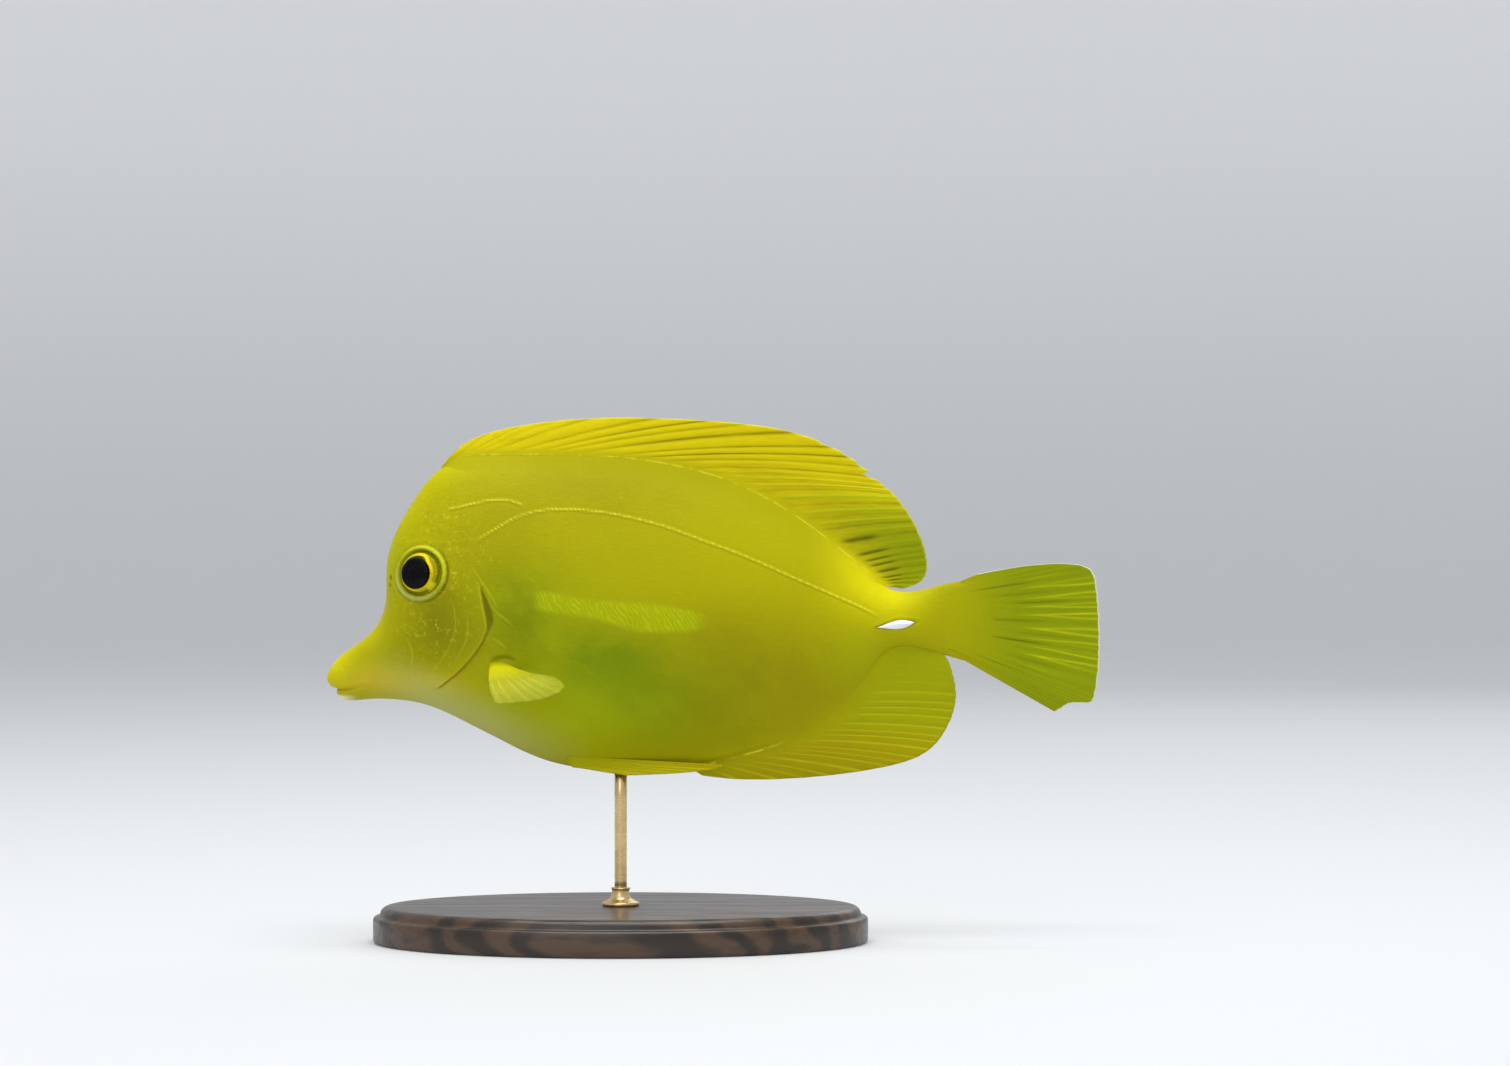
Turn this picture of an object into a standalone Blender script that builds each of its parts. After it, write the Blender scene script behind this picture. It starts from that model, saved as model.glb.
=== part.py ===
"""A life-size yellow tang (Zebrasoma flavescens) on a plain display stand.

The fish swims level with its head towards -X and its left side towards -Y. Lengths are in
millimetres in the fish's own axes: x runs aft from the tip of the snout, y to the fish's right
and z up from the axis through the tail stalk. new_object turns them into metres.
"""

import math
from typing import NamedTuple

import bmesh
import bpy
import numpy as np
from mathutils import Vector
from mathutils.bvhtree import BVHTree

MM = 0.001

# Driving dimensions.
TOTAL_LENGTH = 150.0
AXIS_HEIGHT = 62.5
SKIN_GAP = 0.3
FAR = 60.0
SIDES = ((-1, "left"), (1, "right"))

# The body's ribs: back x and z, belly x and z, half width, and how sharply the section ends.
RIBS = (
    (0.1, -10.6, 0.2, -12.1, 1.3, 0.50),
    (0.9, -8.9, 1.1, -13.1, 2.4, 0.50),
    (1.6, -8.1, 2.0, -13.5, 2.9, 0.50),
    (2.5, -7.2, 2.1, -14.6, 3.2, 0.50),
    (3.7, -6.1, 3.1, -15.6, 3.5, 0.50),
    (5.2, -5.2, 4.9, -15.8, 3.8, 0.52),
    (7.8, -3.4, 8.7, -15.3, 4.3, 0.55),
    (10.7, -0.1, 12.6, -15.4, 5.0, 0.60),
    (11.7, 4.3, 16.1, -15.7, 5.8, 0.64),
    (11.4, 8.9, 20.0, -16.6, 6.6, 0.68),
    (11.9, 13.5, 24.3, -18.5, 7.4, 0.70),
    (14.0, 18.6, 28.1, -20.5, 8.2, 0.72),
    (17.3, 23.9, 32.8, -22.8, 8.9, 0.74),
    (20.9, 29.0, 37.8, -25.5, 9.5, 0.76),
    (26.4, 31.7, 43.3, -27.7, 10.0, 0.80),
    (34.2, 31.8, 49.5, -28.9, 10.3, 0.85),
    (43.0, 31.8, 55.9, -29.1, 10.4, 0.89),
    (53.0, 31.7, 62.7, -29.0, 10.1, 0.92),
    (62.7, 30.7, 69.5, -28.7, 9.5, 0.93),
    (72.2, 28.8, 75.9, -27.7, 8.6, 0.93),
    (80.1, 26.1, 82.1, -26.1, 7.6, 0.92),
    (87.1, 22.4, 87.9, -23.8, 6.6, 0.90),
    (93.7, 18.0, 93.9, -20.8, 5.6, 0.87),
    (99.3, 13.5, 99.5, -17.0, 4.7, 0.82),
    (104.2, 9.5, 104.3, -11.5, 3.9, 0.75),
    (108.4, 5.8, 108.6, -5.4, 3.2, 0.64),
    (112.8, 5.1, 112.8, -4.9, 2.7, 0.58),
    (117.0, 6.1, 117.0, -6.0, 2.1, 0.56),
    (120.8, 7.5, 121.2, -7.5, 1.3, 0.56),
)
SIDE_FLATNESS = 2.0
STATIONS_PER_RIB = 2
SECTION_SIDES = 28
SNOUT_CAP = 0.15
TAIL_CAP = 0.2
LEAST_WIDTH = 0.2
SHADE_ANGLE = 40.0

# The line where the head, with its gill covers, ends: nape, gill slit, throat.
HEAD_REAR_LINE = (
    (17.5, 39.0),
    (22.3, 29.0),
    (27.3, 19.0),
    (30.0, 10.0),
    (31.3, 3.0),
    (32.2, -1.8),
    (30.4, -6.0),
    (27.2, -9.3),
    (23.9, -11.6),
    (21.0, -14.2),
    (17.0, -21.0),
)
GILL_COVER_FRONT_LINE = (
    (26.3, 12.0),
    (26.4, 8.0),
    (26.8, 3.5),
    (26.4, -0.8),
    (24.2, -5.2),
    (20.8, -9.4),
    (17.0, -14.0),
)
GILL_COVER_TOP = 6.8
GILL_COVER_BOTTOM = -11.6
GILL_COVER_THICKNESS = 1.4
GILL_SLIT_WIDTH = 0.7
STALK_FRONT_LINE = ((104.0, 30.0), (105.6, 8.0), (106.3, 0.0), (105.6, -8.0), (103.0, -30.0))
LINE_POINTS = 25

# Mouth: a cleft from the front, then the rear ends of the two jaws.
MOUTH_LINE = ((-4.0, -13.2), (2.2, -13.5), (5.0, -13.5), (7.4, -13.0))
UPPER_LIP_REAR_LINE = ((4.6, -13.5), (3.6, -11.0), (2.6, -8.6), (0.6, -4.0))
LOWER_JAW_REAR_LINE = ((8.6, -14.6), (9.2, -20.0))
ABOVE_SNOUT = (-4.0, -2.0)
BELOW_SNOUT = (-4.0, -20.0)

EYE_CENTRE = (18.7, 9.1)
EYE_RADIUS = 4.5
EYE_DEPTH = 3.0
EYE_SUNK = 1.0
EYE_LEANS_FORWARD = 0.15
EYE_LEANS_DOWN = 0.14
PUPIL_RADIUS = 2.95
PUPIL_FRONT = 0.25
PUPIL_BACK = 0.7
PUPIL_SUNK = 0.1
RIM_RADIUS = 5.05
RIM_THICKNESS = 0.55
RIM_SUNK = 0.1
CLEAR_OF_SKIN = 3.0

NOSTRILS = ((12.75, 8.1, 0.45), (12.6, 6.7, 0.38))
NOSTRIL_DEPTH = 0.9

# Rays of the fins on the midline: root x and z on the body, then tip x and z.
DORSAL_RAYS = (
    (22.0, 28.6, 22.4, 30.0),
    (23.1, 29.9, 26.3, 34.5),
    (24.6, 30.8, 33.0, 36.9),
    (26.4, 31.3, 41.5, 38.3),
    (29.2, 31.6, 51.5, 39.2),
    (33.6, 31.7, 63.0, 39.2),
    (38.4, 31.7, 76.5, 38.5),
    (43.5, 31.7, 87.8, 37.3),
    (50.0, 31.5, 96.3, 34.6),
    (57.0, 31.2, 101.5, 31.7),
    (64.0, 30.3, 105.2, 28.9),
    (70.5, 28.9, 106.6, 27.2),
    (76.3, 27.3, 108.4, 25.8),
    (82.0, 24.9, 109.9, 24.5),
    (87.4, 22.0, 111.5, 22.6),
    (92.4, 18.8, 113.2, 20.2),
    (96.8, 15.4, 114.5, 17.8),
    (100.3, 12.6, 115.5, 15.4),
    (102.5, 10.8, 116.1, 13.5),
    (104.1, 9.5, 116.4, 11.9),
    (105.5, 8.3, 116.6, 10.3),
    (106.6, 7.4, 116.3, 8.6),
    (107.4, 6.8, 115.2, 7.0),
    (107.9, 6.4, 112.0, 6.0),
)
ANAL_RAYS = (
    (69.0, -28.4, 73.0, -30.3),
    (71.2, -28.1, 80.0, -31.2),
    (74.2, -27.5, 91.0, -30.9),
    (78.0, -26.6, 101.0, -29.9),
    (81.8, -25.6, 109.0, -28.5),
    (85.2, -24.6, 114.3, -27.0),
    (88.8, -23.3, 117.5, -24.9),
    (92.6, -21.5, 119.4, -22.6),
    (96.2, -19.4, 120.8, -20.1),
    (99.3, -17.1, 121.8, -17.4),
    (102.0, -14.5, 122.2, -14.6),
    (104.2, -11.6, 121.8, -12.0),
    (106.2, -8.8, 120.9, -9.2),
    (108.0, -6.7, 119.5, -7.1),
    (110.0, -5.6, 114.5, -5.9),
)
TAIL_RAYS = (
    (120.4, 7.0, 126.5, 8.9),
    (120.6, 6.8, 137.5, 10.95),
    (120.8, 6.2, 148.2, 11.0),
    (121.2, 4.6, 149.3, 8.0),
    (121.7, 2.3, 149.8, 3.2),
    (121.9, 0.0, 150.0, -1.6),
    (121.7, -2.3, 150.0, -6.4),
    (121.4, -4.0, 149.7, -11.0),
    (121.2, -5.0, 148.9, -15.8),
    (121.1, -5.6, 148.0, -16.3),
    (121.0, -6.1, 144.1, -15.9),
    (120.9, -6.5, 143.0, -17.0),
    (120.8, -6.9, 141.3, -17.9),
)

# Rays of the left pectoral fin, held out like a wing: root x and z on the skin, then the tip.
PECTORAL_RAYS = (
    (32.2, -8.7, 34.6, -30.0, -15.0),
    (32.9, -8.4, 38.6, -29.6, -14.9),
    (33.9, -8.3, 43.0, -26.8, -14.4),
    (35.0, -8.5, 46.4, -22.4, -13.3),
    (36.0, -9.0, 47.4, -17.6, -12.0),
    (36.8, -9.6, 44.6, -13.6, -10.6),
)

# Rays of the left pelvic fin, folded back under the belly: root and tip.
PELVIC_RAYS = (
    (47.0, -1.7, -26.4, 76.4, -2.8, -28.0),
    (47.3, -1.6, -27.0, 77.4, -2.6, -28.6),
    (47.7, -1.5, -27.7, 70.0, -2.5, -29.7),
    (48.2, -1.4, -28.6, 58.0, -2.3, -30.1),
)

# How the fins thin out from root to tips, and where their roots are sunk to.
THINNING = 0.7
PELVIC_SINK = (-1.2, 0.8, 0.8)
FIN_SINK = 1.8
TAIL_SINK = 0.8


class FinForm(NamedTuple):
    """How a fin is built, in millimetres or shares."""

    ray_count: int
    half_root: float
    half_tip: float
    edge_share: float
    ray_height: float
    tip_step: float
    bowing: float
    sway: float
    waves: float


# Half the fin's thickness at its root and at its tips, the share of it left at the two edges,
# how high a ray stands out of the membrane, how far a ray's tip passes the membrane beside it,
# how much a ray is bowed, as a share of its length, and the sideways sway of the tips with its
# number of waves along the fin.
FIN_FORMS = {
    "dorsal": FinForm(28, 0.9, 0.28, 0.6, 0.28, 0.25, 0.03, 0.5, 2.5),
    "anal": FinForm(23, 0.9, 0.28, 0.6, 0.25, 0.35, -0.03, 0.4, 2.0),
    "tail": FinForm(19, 0.9, 0.28, 0.3, 0.22, 0.30, 0.0, 0.7, 1.0),
    "pectoral": FinForm(14, 0.7, 0.26, 0.8, 0.20, 0.15, 0.03, 0.0, 0.0),
    "pelvic": FinForm(6, 0.42, 0.26, 1.0, 0.08, 0.20, 0.0, 0.0, 0.0),
}
RAY_STEPS = 6

# The white spine folded into its groove on each side of the tail stalk.
SPINE_TIP = (106.5, -1.5)
SPINE_HINGE = (113.9, -0.5)
SPINE_HALF_DEPTH = 0.95
SPINE_LEAST_DEPTH = 0.12
SPINE_FULLEST = 1.35
SPINE_THICKNESS = 1.0
SPINE_STANDS_PROUD = 0.45
SPINE_RIDGE = 0.3
SPINE_STATIONS = 10

# The display stand.
BASE_LENGTH = 96.0
BASE_WIDTH = 66.0
BASE_THICKNESS = 7.0
BASE_EDGE = 1.2
ROD_X = 57.0
ROD_RADIUS = 1.2
COLLAR_RADIUS = 3.6
COLLAR_HEIGHT = 3.2
COLLAR_CHAMFER = 1.0


def clear_scene():
    """Removes whatever the scene holds."""
    for obj in list(bpy.data.objects):
        bpy.data.objects.remove(obj)


def material(name, colour, roughness, metallic=0.0):
    """A plain Principled material."""
    made = bpy.data.materials.new(name)
    made.use_nodes = True
    shader = made.node_tree.nodes["Principled BSDF"]
    shader.inputs["Base Color"].default_value = (*colour, 1.0)
    shader.inputs["Roughness"].default_value = roughness
    shader.inputs["Metallic"].default_value = metallic
    return made


def smooth_curve(control, t):
    """Points on a uniform cubic B-spline; t runs from 0 to 1 from the first control point to the last."""
    control = np.asarray(control, float)
    ends = np.vstack([2 * control[0] - control[1], control, 2 * control[-1] - control[-2]])
    along = np.asarray(t, float) * (len(control) - 1)
    first = np.clip(along.astype(int), 0, len(control) - 2)
    f = (along - first)[:, None]
    weights = (
        (1 - f) ** 3,
        3 * f**3 - 6 * f**2 + 4,
        -3 * f**3 + 3 * f**2 + 3 * f + 1,
        f**3,
    )
    return sum(w * ends[first + k] for k, w in enumerate(weights)) / 6


def new_object(name, points, faces):
    """A mesh object from points in millimetres, in the fish's axes."""
    mesh = bpy.data.meshes.new(name)
    mesh.from_pydata((np.asarray(points, float) * MM).tolist(), [], faces)
    mesh.validate()
    bm = bmesh.new()
    bm.from_mesh(mesh)
    bmesh.ops.recalc_face_normals(bm, faces=bm.faces)
    if bm.calc_volume(signed=True) < 0:
        bmesh.ops.reverse_faces(bm, faces=bm.faces)
    bm.to_mesh(mesh)
    bm.free()
    obj = bpy.data.objects.new(name, mesh)
    bpy.context.scene.collection.objects.link(obj)
    return obj


def new_empty(name, x, z):
    """An empty on the midline, at x and z in millimetres in the model's own frame."""
    empty = bpy.data.objects.new(name, None)
    bpy.context.scene.collection.objects.link(empty)
    empty.location = (x * MM, 0, z * MM)
    return empty


def grid_triangles(rows, columns, flip):
    """Triangles of a rows by columns grid of points, the same diagonals whichever way it faces."""
    made = []
    for r in range(rows - 1):
        for c in range(columns - 1):
            a, b = r * columns + c, r * columns + c + 1
            d, e = a + columns, b + columns
            for face in ((a, b, e), (a, e, d)):
                made.append(face[::-1] if flip else face)
    return made


def flesh_rings(grow=0.0):
    """The rings of points round the body, from the snout to the tail stalk's end."""
    stations = (len(RIBS) - 1) * STATIONS_PER_RIB + 1
    ribs = smooth_curve(RIBS, np.linspace(0, 1, stations))
    turn = np.linspace(0, 2 * math.pi, SECTION_SIDES, endpoint=False)
    up = np.cos(turn)
    out = np.maximum(1 - np.abs(up) ** SIDE_FLATNESS, 0)
    side = np.where(turn <= math.pi, -1.0, 1.0)
    rings = []
    for back_x, back_z, belly_x, belly_z, half_width, sharpness in ribs:
        middle = np.array([(back_x + belly_x) / 2, (back_z + belly_z) / 2])
        half = np.array([(back_x - belly_x) / 2, (back_z - belly_z) / 2])
        plane = middle + up[:, None] * half
        y = side * half_width * out**sharpness
        rings.append(np.column_stack([plane[:, 0], y, plane[:, 1]]))
    rings = np.array(rings)
    if grow:
        rings = rings + grow * ring_normals(rings)
        rings[0, :, 0] -= grow
        rings[-1, :, 0] += grow
    return rings


def ring_normals(rings):
    """Outward unit normals of the body's surface at the points of its rings."""
    lengthwise = np.gradient(rings, axis=0)
    around = np.roll(rings, -1, axis=1) - np.roll(rings, 1, axis=1)
    normal = np.cross(around, lengthwise)
    size = np.linalg.norm(normal, axis=2, keepdims=True)
    normal = normal / np.where(size == 0, 1, size)
    outward = rings - rings.mean(axis=1, keepdims=True)
    sign = np.sign((normal * outward).sum(axis=2, keepdims=True))
    return normal * np.where(sign == 0, 1, sign)


def flesh(name, grow=0.0, inset_width=0.0):
    """The whole body without fins, grown outwards by a distance or with its sides drawn in."""
    rings = flesh_rings(grow)
    if inset_width:
        half_width = np.abs(rings[:, :, 1]).max(axis=1, keepdims=True)
        rings[:, :, 1] *= np.maximum(half_width - inset_width, LEAST_WIDTH) / half_width
    count = len(rings)
    points = rings.reshape(-1, 3).tolist()
    faces = []
    for r in range(count - 1):
        for s in range(SECTION_SIDES):
            nxt = (s + 1) % SECTION_SIDES
            low, high = r * SECTION_SIDES, (r + 1) * SECTION_SIDES
            faces.append((low + s, high + s, high + nxt, low + nxt))
    for row, push in ((0, -SNOUT_CAP), (count - 1, TAIL_CAP)):
        centre = rings[row].mean(axis=0) + np.array([push, 0, 0])
        points.append(centre.tolist())
        start = row * SECTION_SIDES
        for s in range(SECTION_SIDES):
            faces.append((start + s, start + (s + 1) % SECTION_SIDES, len(points) - 1))
    return new_object(name, points, faces)


def prism(name, outline, near=-FAR, far=FAR):
    """A closed block: an outline in the side view, swept across the fish from y near to y far."""
    count = len(outline)
    points = [(x, near, z) for x, z in outline] + [(x, far, z) for x, z in outline]
    faces = [tuple(range(count)), tuple(range(2 * count - 1, count - 1, -1))]
    for i in range(count):
        j = (i + 1) % count
        faces.append((i, i + count, j + count, j))
    return new_object(name, points, faces)


def drawn(line):
    """A smooth line along control points."""
    return smooth_curve(line, np.linspace(0, 1, LINE_POINTS)).tolist()


def shifted(line, distance):
    """A line in the side view moved sideways, to its left for a positive distance."""
    line = np.asarray(line, float)
    along = np.gradient(line, axis=0)
    normal = np.column_stack([-along[:, 1], along[:, 0]])
    normal /= np.linalg.norm(normal, axis=1, keepdims=True)
    return (line + distance * normal).tolist()


def combine(target, operation, *tools):
    """Applies a Boolean of the tools to the target and removes the tools."""
    for tool in tools:
        modifier = target.modifiers.new("combine", "BOOLEAN")
        modifier.operation = operation
        modifier.object = tool
        modifier.solver = "EXACT"
        graph = bpy.context.evaluated_depsgraph_get()
        made = bpy.data.meshes.new_from_object(target.evaluated_get(graph))
        target.modifiers.clear()
        target.data = made
        bpy.data.objects.remove(tool)
    keep_largest(target)
    return target


def keep_largest(obj):
    """Leaves only the closed surface with the largest area."""
    bm = bmesh.new()
    bm.from_mesh(obj.data)
    left = set(bm.faces)
    groups = []
    while left:
        stack = [left.pop()]
        group = list(stack)
        while stack:
            for edge in stack.pop().edges:
                for face in edge.link_faces:
                    if face in left:
                        left.remove(face)
                        group.append(face)
                        stack.append(face)
        groups.append(group)
    if len(groups) > 1:
        groups.sort(key=lambda faces: sum(f.calc_area() for f in faces))
        doomed = [f for group in groups[:-1] for f in group]
        bmesh.ops.delete(bm, geom=doomed, context="FACES")
        loose = [v for v in bm.verts if not v.link_faces]
        bmesh.ops.delete(bm, geom=loose, context="VERTS")
    bm.to_mesh(obj.data)
    bm.free()


def finished(obj, name, look, parent):
    """Names a node, gives it its material and shading, and hangs it on its parent."""
    obj.name = name
    obj.data.name = name
    obj.data.materials.clear()
    obj.data.materials.append(look)
    obj.data.shade_smooth()
    obj.data.set_sharp_from_angle(angle=math.radians(SHADE_ANGLE))
    obj.parent = parent
    return obj


def skin_place(surface, x, z, side):
    """The point of the skin at x and z on one side, and the direction out of it, in millimetres."""
    start = Vector((x * MM, side * FAR * MM, z * MM))
    hit, normal, _, _ = surface.ray_cast(start, Vector((0, -side, 0)))
    return hit / MM, normal


def frame_towards(direction):
    """Two directions across a given one: the first lies along the fish, the second points up."""
    out = np.array(direction, float)
    out /= np.linalg.norm(out)
    up = np.array([0.0, 0.0, 1.0]) - out[2] * out
    up /= np.linalg.norm(up)
    return np.cross(up, out), up, out


def dome(name, centre, direction, radius, depth_out, depth_in, segments=24, levels=6):
    """A round lens: a cap of one depth outwards and another inwards."""
    along, up, out = frame_towards(direction)
    points = [np.array(centre) + out * depth_out]
    for level in range(1, 2 * levels):
        lift = math.pi * level / (2 * levels)
        height = math.cos(lift) * (depth_out if lift < math.pi / 2 else depth_in)
        for s in range(segments):
            a = 2 * math.pi * s / segments
            spoke = along * math.cos(a) + up * math.sin(a)
            points.append(np.array(centre) + spoke * radius * math.sin(lift) + out * height)
    points.append(np.array(centre) - out * depth_in)
    faces = []
    last = len(points) - 1
    for s in range(segments):
        nxt = (s + 1) % segments
        faces.append((0, 1 + s, 1 + nxt))
        end = 1 + (2 * levels - 2) * segments
        faces.append((last, end + nxt, end + s))
        for level in range(2 * levels - 2):
            a = 1 + level * segments
            b = a + segments
            faces.append((a + s, b + s, b + nxt, a + nxt))
    return new_object(name, points, faces)


def hoop(name, centre, direction, radius, thickness, segments=28, sides=6):
    """A torus round a direction."""
    along, up, out = frame_towards(direction)
    points = []
    for s in range(segments):
        a = 2 * math.pi * s / segments
        spoke = along * math.cos(a) + up * math.sin(a)
        for k in range(sides):
            b = 2 * math.pi * k / sides
            offset = spoke * (radius + thickness * math.cos(b)) + out * thickness * math.sin(b)
            points.append(np.array(centre) + offset)
    faces = []
    for s in range(segments):
        for k in range(sides):
            a, b = s * sides, (s + 1) % segments * sides
            nxt = (k + 1) % sides
            faces.append((a + k, b + k, b + nxt, a + nxt))
    return new_object(name, points, faces)


def fin(name, kind, rays, sink):
    """A closed fin: ridged rays from their roots to their tips, with thinner membrane between."""
    form = FIN_FORMS[kind]
    along_base = np.linspace(0, 1, 2 * form.ray_count + 1)
    on_ray = (np.arange(len(along_base)) % 2)[:, None]
    rays = smooth_curve(rays, along_base)
    root, reach = rays[:, :3], rays[:, 3:] - rays[:, :3]
    length = np.linalg.norm(reach, axis=1, keepdims=True)
    reach = reach * (1 + form.tip_step * (on_ray - 1) / length)
    spread = np.gradient(root + reach / 2, axis=0)
    across = np.cross(np.cross(reach, spread), reach)
    across *= form.bowing * length / np.linalg.norm(across, axis=1, keepdims=True)
    share = np.linspace(0, 1, RAY_STEPS)
    middle = root[:, None, :] + reach[:, None, :] * share[None, :, None]
    middle = middle - across[:, None, :] * (4 * share * (1 - share))[None, :, None]
    middle[:, :, 1] += form.sway * np.sin(2 * math.pi * form.waves * along_base)[:, None] * share**2
    buried = root + np.asarray(sink, float)
    middle = np.concatenate([buried[:, None, :], middle], axis=1)
    normal = np.cross(np.gradient(middle, axis=0), np.gradient(middle, axis=1))
    normal /= np.linalg.norm(normal, axis=2, keepdims=True)
    share = np.concatenate([[0.0], share])
    half = form.half_root + (form.half_tip - form.half_root) * share**THINNING
    half = half + form.ray_height * on_ray * (1 - share / 2)
    at_edge = 1 - np.sqrt(np.sin(math.pi * along_base))[:, None]
    half = half * (1 - (1 - form.edge_share) * at_edge * (1 - share))
    offset = normal * half[:, :, None]
    return sheet_solid(name, middle - offset, middle + offset)


def sheet_solid(name, near, far):
    """Closes two like grids of points into one solid, with the same triangles on both faces."""
    columns, rows, _ = near.shape
    points = np.concatenate([near.reshape(-1, 3), far.reshape(-1, 3)])
    count = columns * rows
    faces = grid_triangles(columns, rows, True)
    faces += [tuple(count + i for i in f) for f in grid_triangles(columns, rows, False)]
    border = list(range(rows))
    border += [c * rows + rows - 1 for c in range(1, columns)]
    border += [(columns - 1) * rows + r for r in range(rows - 2, -1, -1)]
    border += [c * rows for c in range(columns - 2, 0, -1)]
    for i, a in enumerate(border):
        b = border[(i + 1) % len(border)]
        faces += [(a, b, b + count), (a, b + count, a + count)]
    return new_object(name, points, faces)


def in_midplane(rays):
    """Rays given by x and z, as roots and tips on the midline."""
    return [(a, 0.0, b, c, 0.0, d) for a, b, c, d in rays]


def mirrored(rays):
    """The same rays on the other side of the fish."""
    return [(a, -b, c, d, -e, f) for a, b, c, d, e, f in rays]


def lengthened(line):
    """A line listed from top to bottom, with its ends led straight up and down past the fish."""
    return [(line[0][0], FAR), *line, (line[-1][0], -FAR)]


def region(name, line, far_x):
    """All of the side view from a line, listed from top to bottom, out to far_x."""
    return prism(name, [*lengthened(line), (far_x, -FAR), (far_x, FAR)])


def between(name, front_line, rear_line):
    """All of the side view between two lines, each listed from top to bottom."""
    return prism(name, [*lengthened(front_line), *reversed(lengthened(rear_line))])


def cover_outline(front_line, rear_line, low, high):
    """The outline between two lines, each listed from top to bottom, from a low to a high z."""
    levels = np.linspace(low, high, LINE_POINTS)
    outline = []
    for line, order in ((front_line, levels), (rear_line, levels[::-1])):
        line = np.array(line)[::-1]
        outline += [(np.interp(z, line[:, 1], line[:, 0]), z) for z in order]
    return outline


def make_gill_cover(head, side, word, look, parent):
    """Cuts a flap out of the head's side, between the cheek and the gill slit."""
    half_gap = SKIN_GAP / 2
    front, rear = drawn(GILL_COVER_FRONT_LINE), drawn(HEAD_REAR_LINE)
    flap_outline = cover_outline(
        shifted(front, half_gap),
        shifted(rear, half_gap - GILL_SLIT_WIDTH),
        GILL_COVER_BOTTOM + half_gap,
        GILL_COVER_TOP - half_gap,
    )
    pocket_outline = cover_outline(
        shifted(front, -half_gap),
        shifted(rear, GILL_SLIT_WIDTH),
        GILL_COVER_BOTTOM - half_gap,
        GILL_COVER_TOP + half_gap,
    )
    near, far = sorted((side * FAR, 0.0))
    flap = combine(flesh("flap"), "INTERSECT", prism("side", flap_outline, near, far))
    combine(flap, "DIFFERENCE", flesh("core", inset_width=GILL_COVER_THICKNESS))
    pocket = prism("pocket", pocket_outline, near, far)
    combine(pocket, "DIFFERENCE", flesh("deep", inset_width=GILL_COVER_THICKNESS + SKIN_GAP))
    combine(head, "DIFFERENCE", pocket)
    finished(flap, f"gill_cover_{word}", look, parent)


def make_eye(head, surface, side, word, looks, parent):
    """Sets an eyeball with its pupil in a socket, and a raised rim round the socket."""
    hit, normal = skin_place(surface, *EYE_CENTRE, side)
    out = np.array(normal)
    gaze = out + np.array([-EYE_LEANS_FORWARD, 0.0, -EYE_LEANS_DOWN])
    gaze /= np.linalg.norm(gaze)
    centre = np.array(hit) - out * EYE_SUNK
    rim = hoop("rim", np.array(hit) - out * RIM_SUNK, out, RIM_RADIUS, RIM_THICKNESS)
    combine(head, "UNION", rim)
    room = EYE_DEPTH + SKIN_GAP
    hole = dome("hole", centre, out, EYE_RADIUS + SKIN_GAP, room + CLEAR_OF_SKIN, room)
    combine(head, "DIFFERENCE", hole)
    ball = dome("ball", centre, out, EYE_RADIUS, EYE_DEPTH, EYE_DEPTH)
    front = centre + gaze * (EYE_DEPTH - PUPIL_SUNK)
    pit = dome("pit", front, gaze, PUPIL_RADIUS + SKIN_GAP, CLEAR_OF_SKIN, PUPIL_BACK + SKIN_GAP)
    combine(ball, "DIFFERENCE", pit)
    pupil = dome("lens", front, gaze, PUPIL_RADIUS, PUPIL_FRONT, PUPIL_BACK, 20, 4)
    finished(ball, f"eye_{word}", looks["iris"], parent)
    finished(pupil, f"pupil_{word}", looks["pupil"], parent)


def make_nostrils(head, surface, side):
    """Two small pits in front of the eye."""
    for x, z, radius in NOSTRILS:
        hit, normal = skin_place(surface, x, z, side)
        pit = dome("pit", hit, normal, radius, NOSTRIL_DEPTH, NOSTRIL_DEPTH, 10, 2)
        combine(head, "DIFFERENCE", pit)


def spine_blade(name, surface, side, grow):
    """A pointed blade along the tail stalk, its tip forwards and its hinge aft."""
    tip, hinge = np.array(SPINE_TIP), np.array(SPINE_HINGE)
    length = np.linalg.norm(hinge - tip)
    along = (hinge - tip) / length
    across = np.array([-along[1], along[0]])
    share = np.linspace(0, 1, SPINE_STATIONS)
    depth = SPINE_HALF_DEPTH * np.sin(math.pi * share**SPINE_FULLEST)
    depth = np.maximum(depth, SPINE_LEAST_DEPTH) + grow
    stations = tip + along * (share * (length + 2 * grow) - grow)[:, None]
    points = []
    for (x, z), half in zip(stations, depth):
        hit, _ = skin_place(surface, x, z, side)
        top = abs(hit[1]) + SPINE_STANDS_PROUD + 2 * grow
        low = top - SPINE_THICKNESS - 3 * grow
        shoulder = top - SPINE_RIDGE
        for lean, y in ((1, low), (1, shoulder), (0, top), (-1, shoulder), (-1, low)):
            spot = np.array([x, z]) + across * half * lean
            points.append((spot[0], side * y, spot[1]))
    sides = 5
    faces = [tuple(range(sides)), tuple(range(len(points) - 1, len(points) - sides - 1, -1))]
    for s in range(SPINE_STATIONS - 1):
        for k in range(sides):
            a, nxt = s * sides, (k + 1) % sides
            faces.append((a + k, a + sides + k, a + sides + nxt, a + nxt))
    return new_object(name, points, faces)


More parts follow.
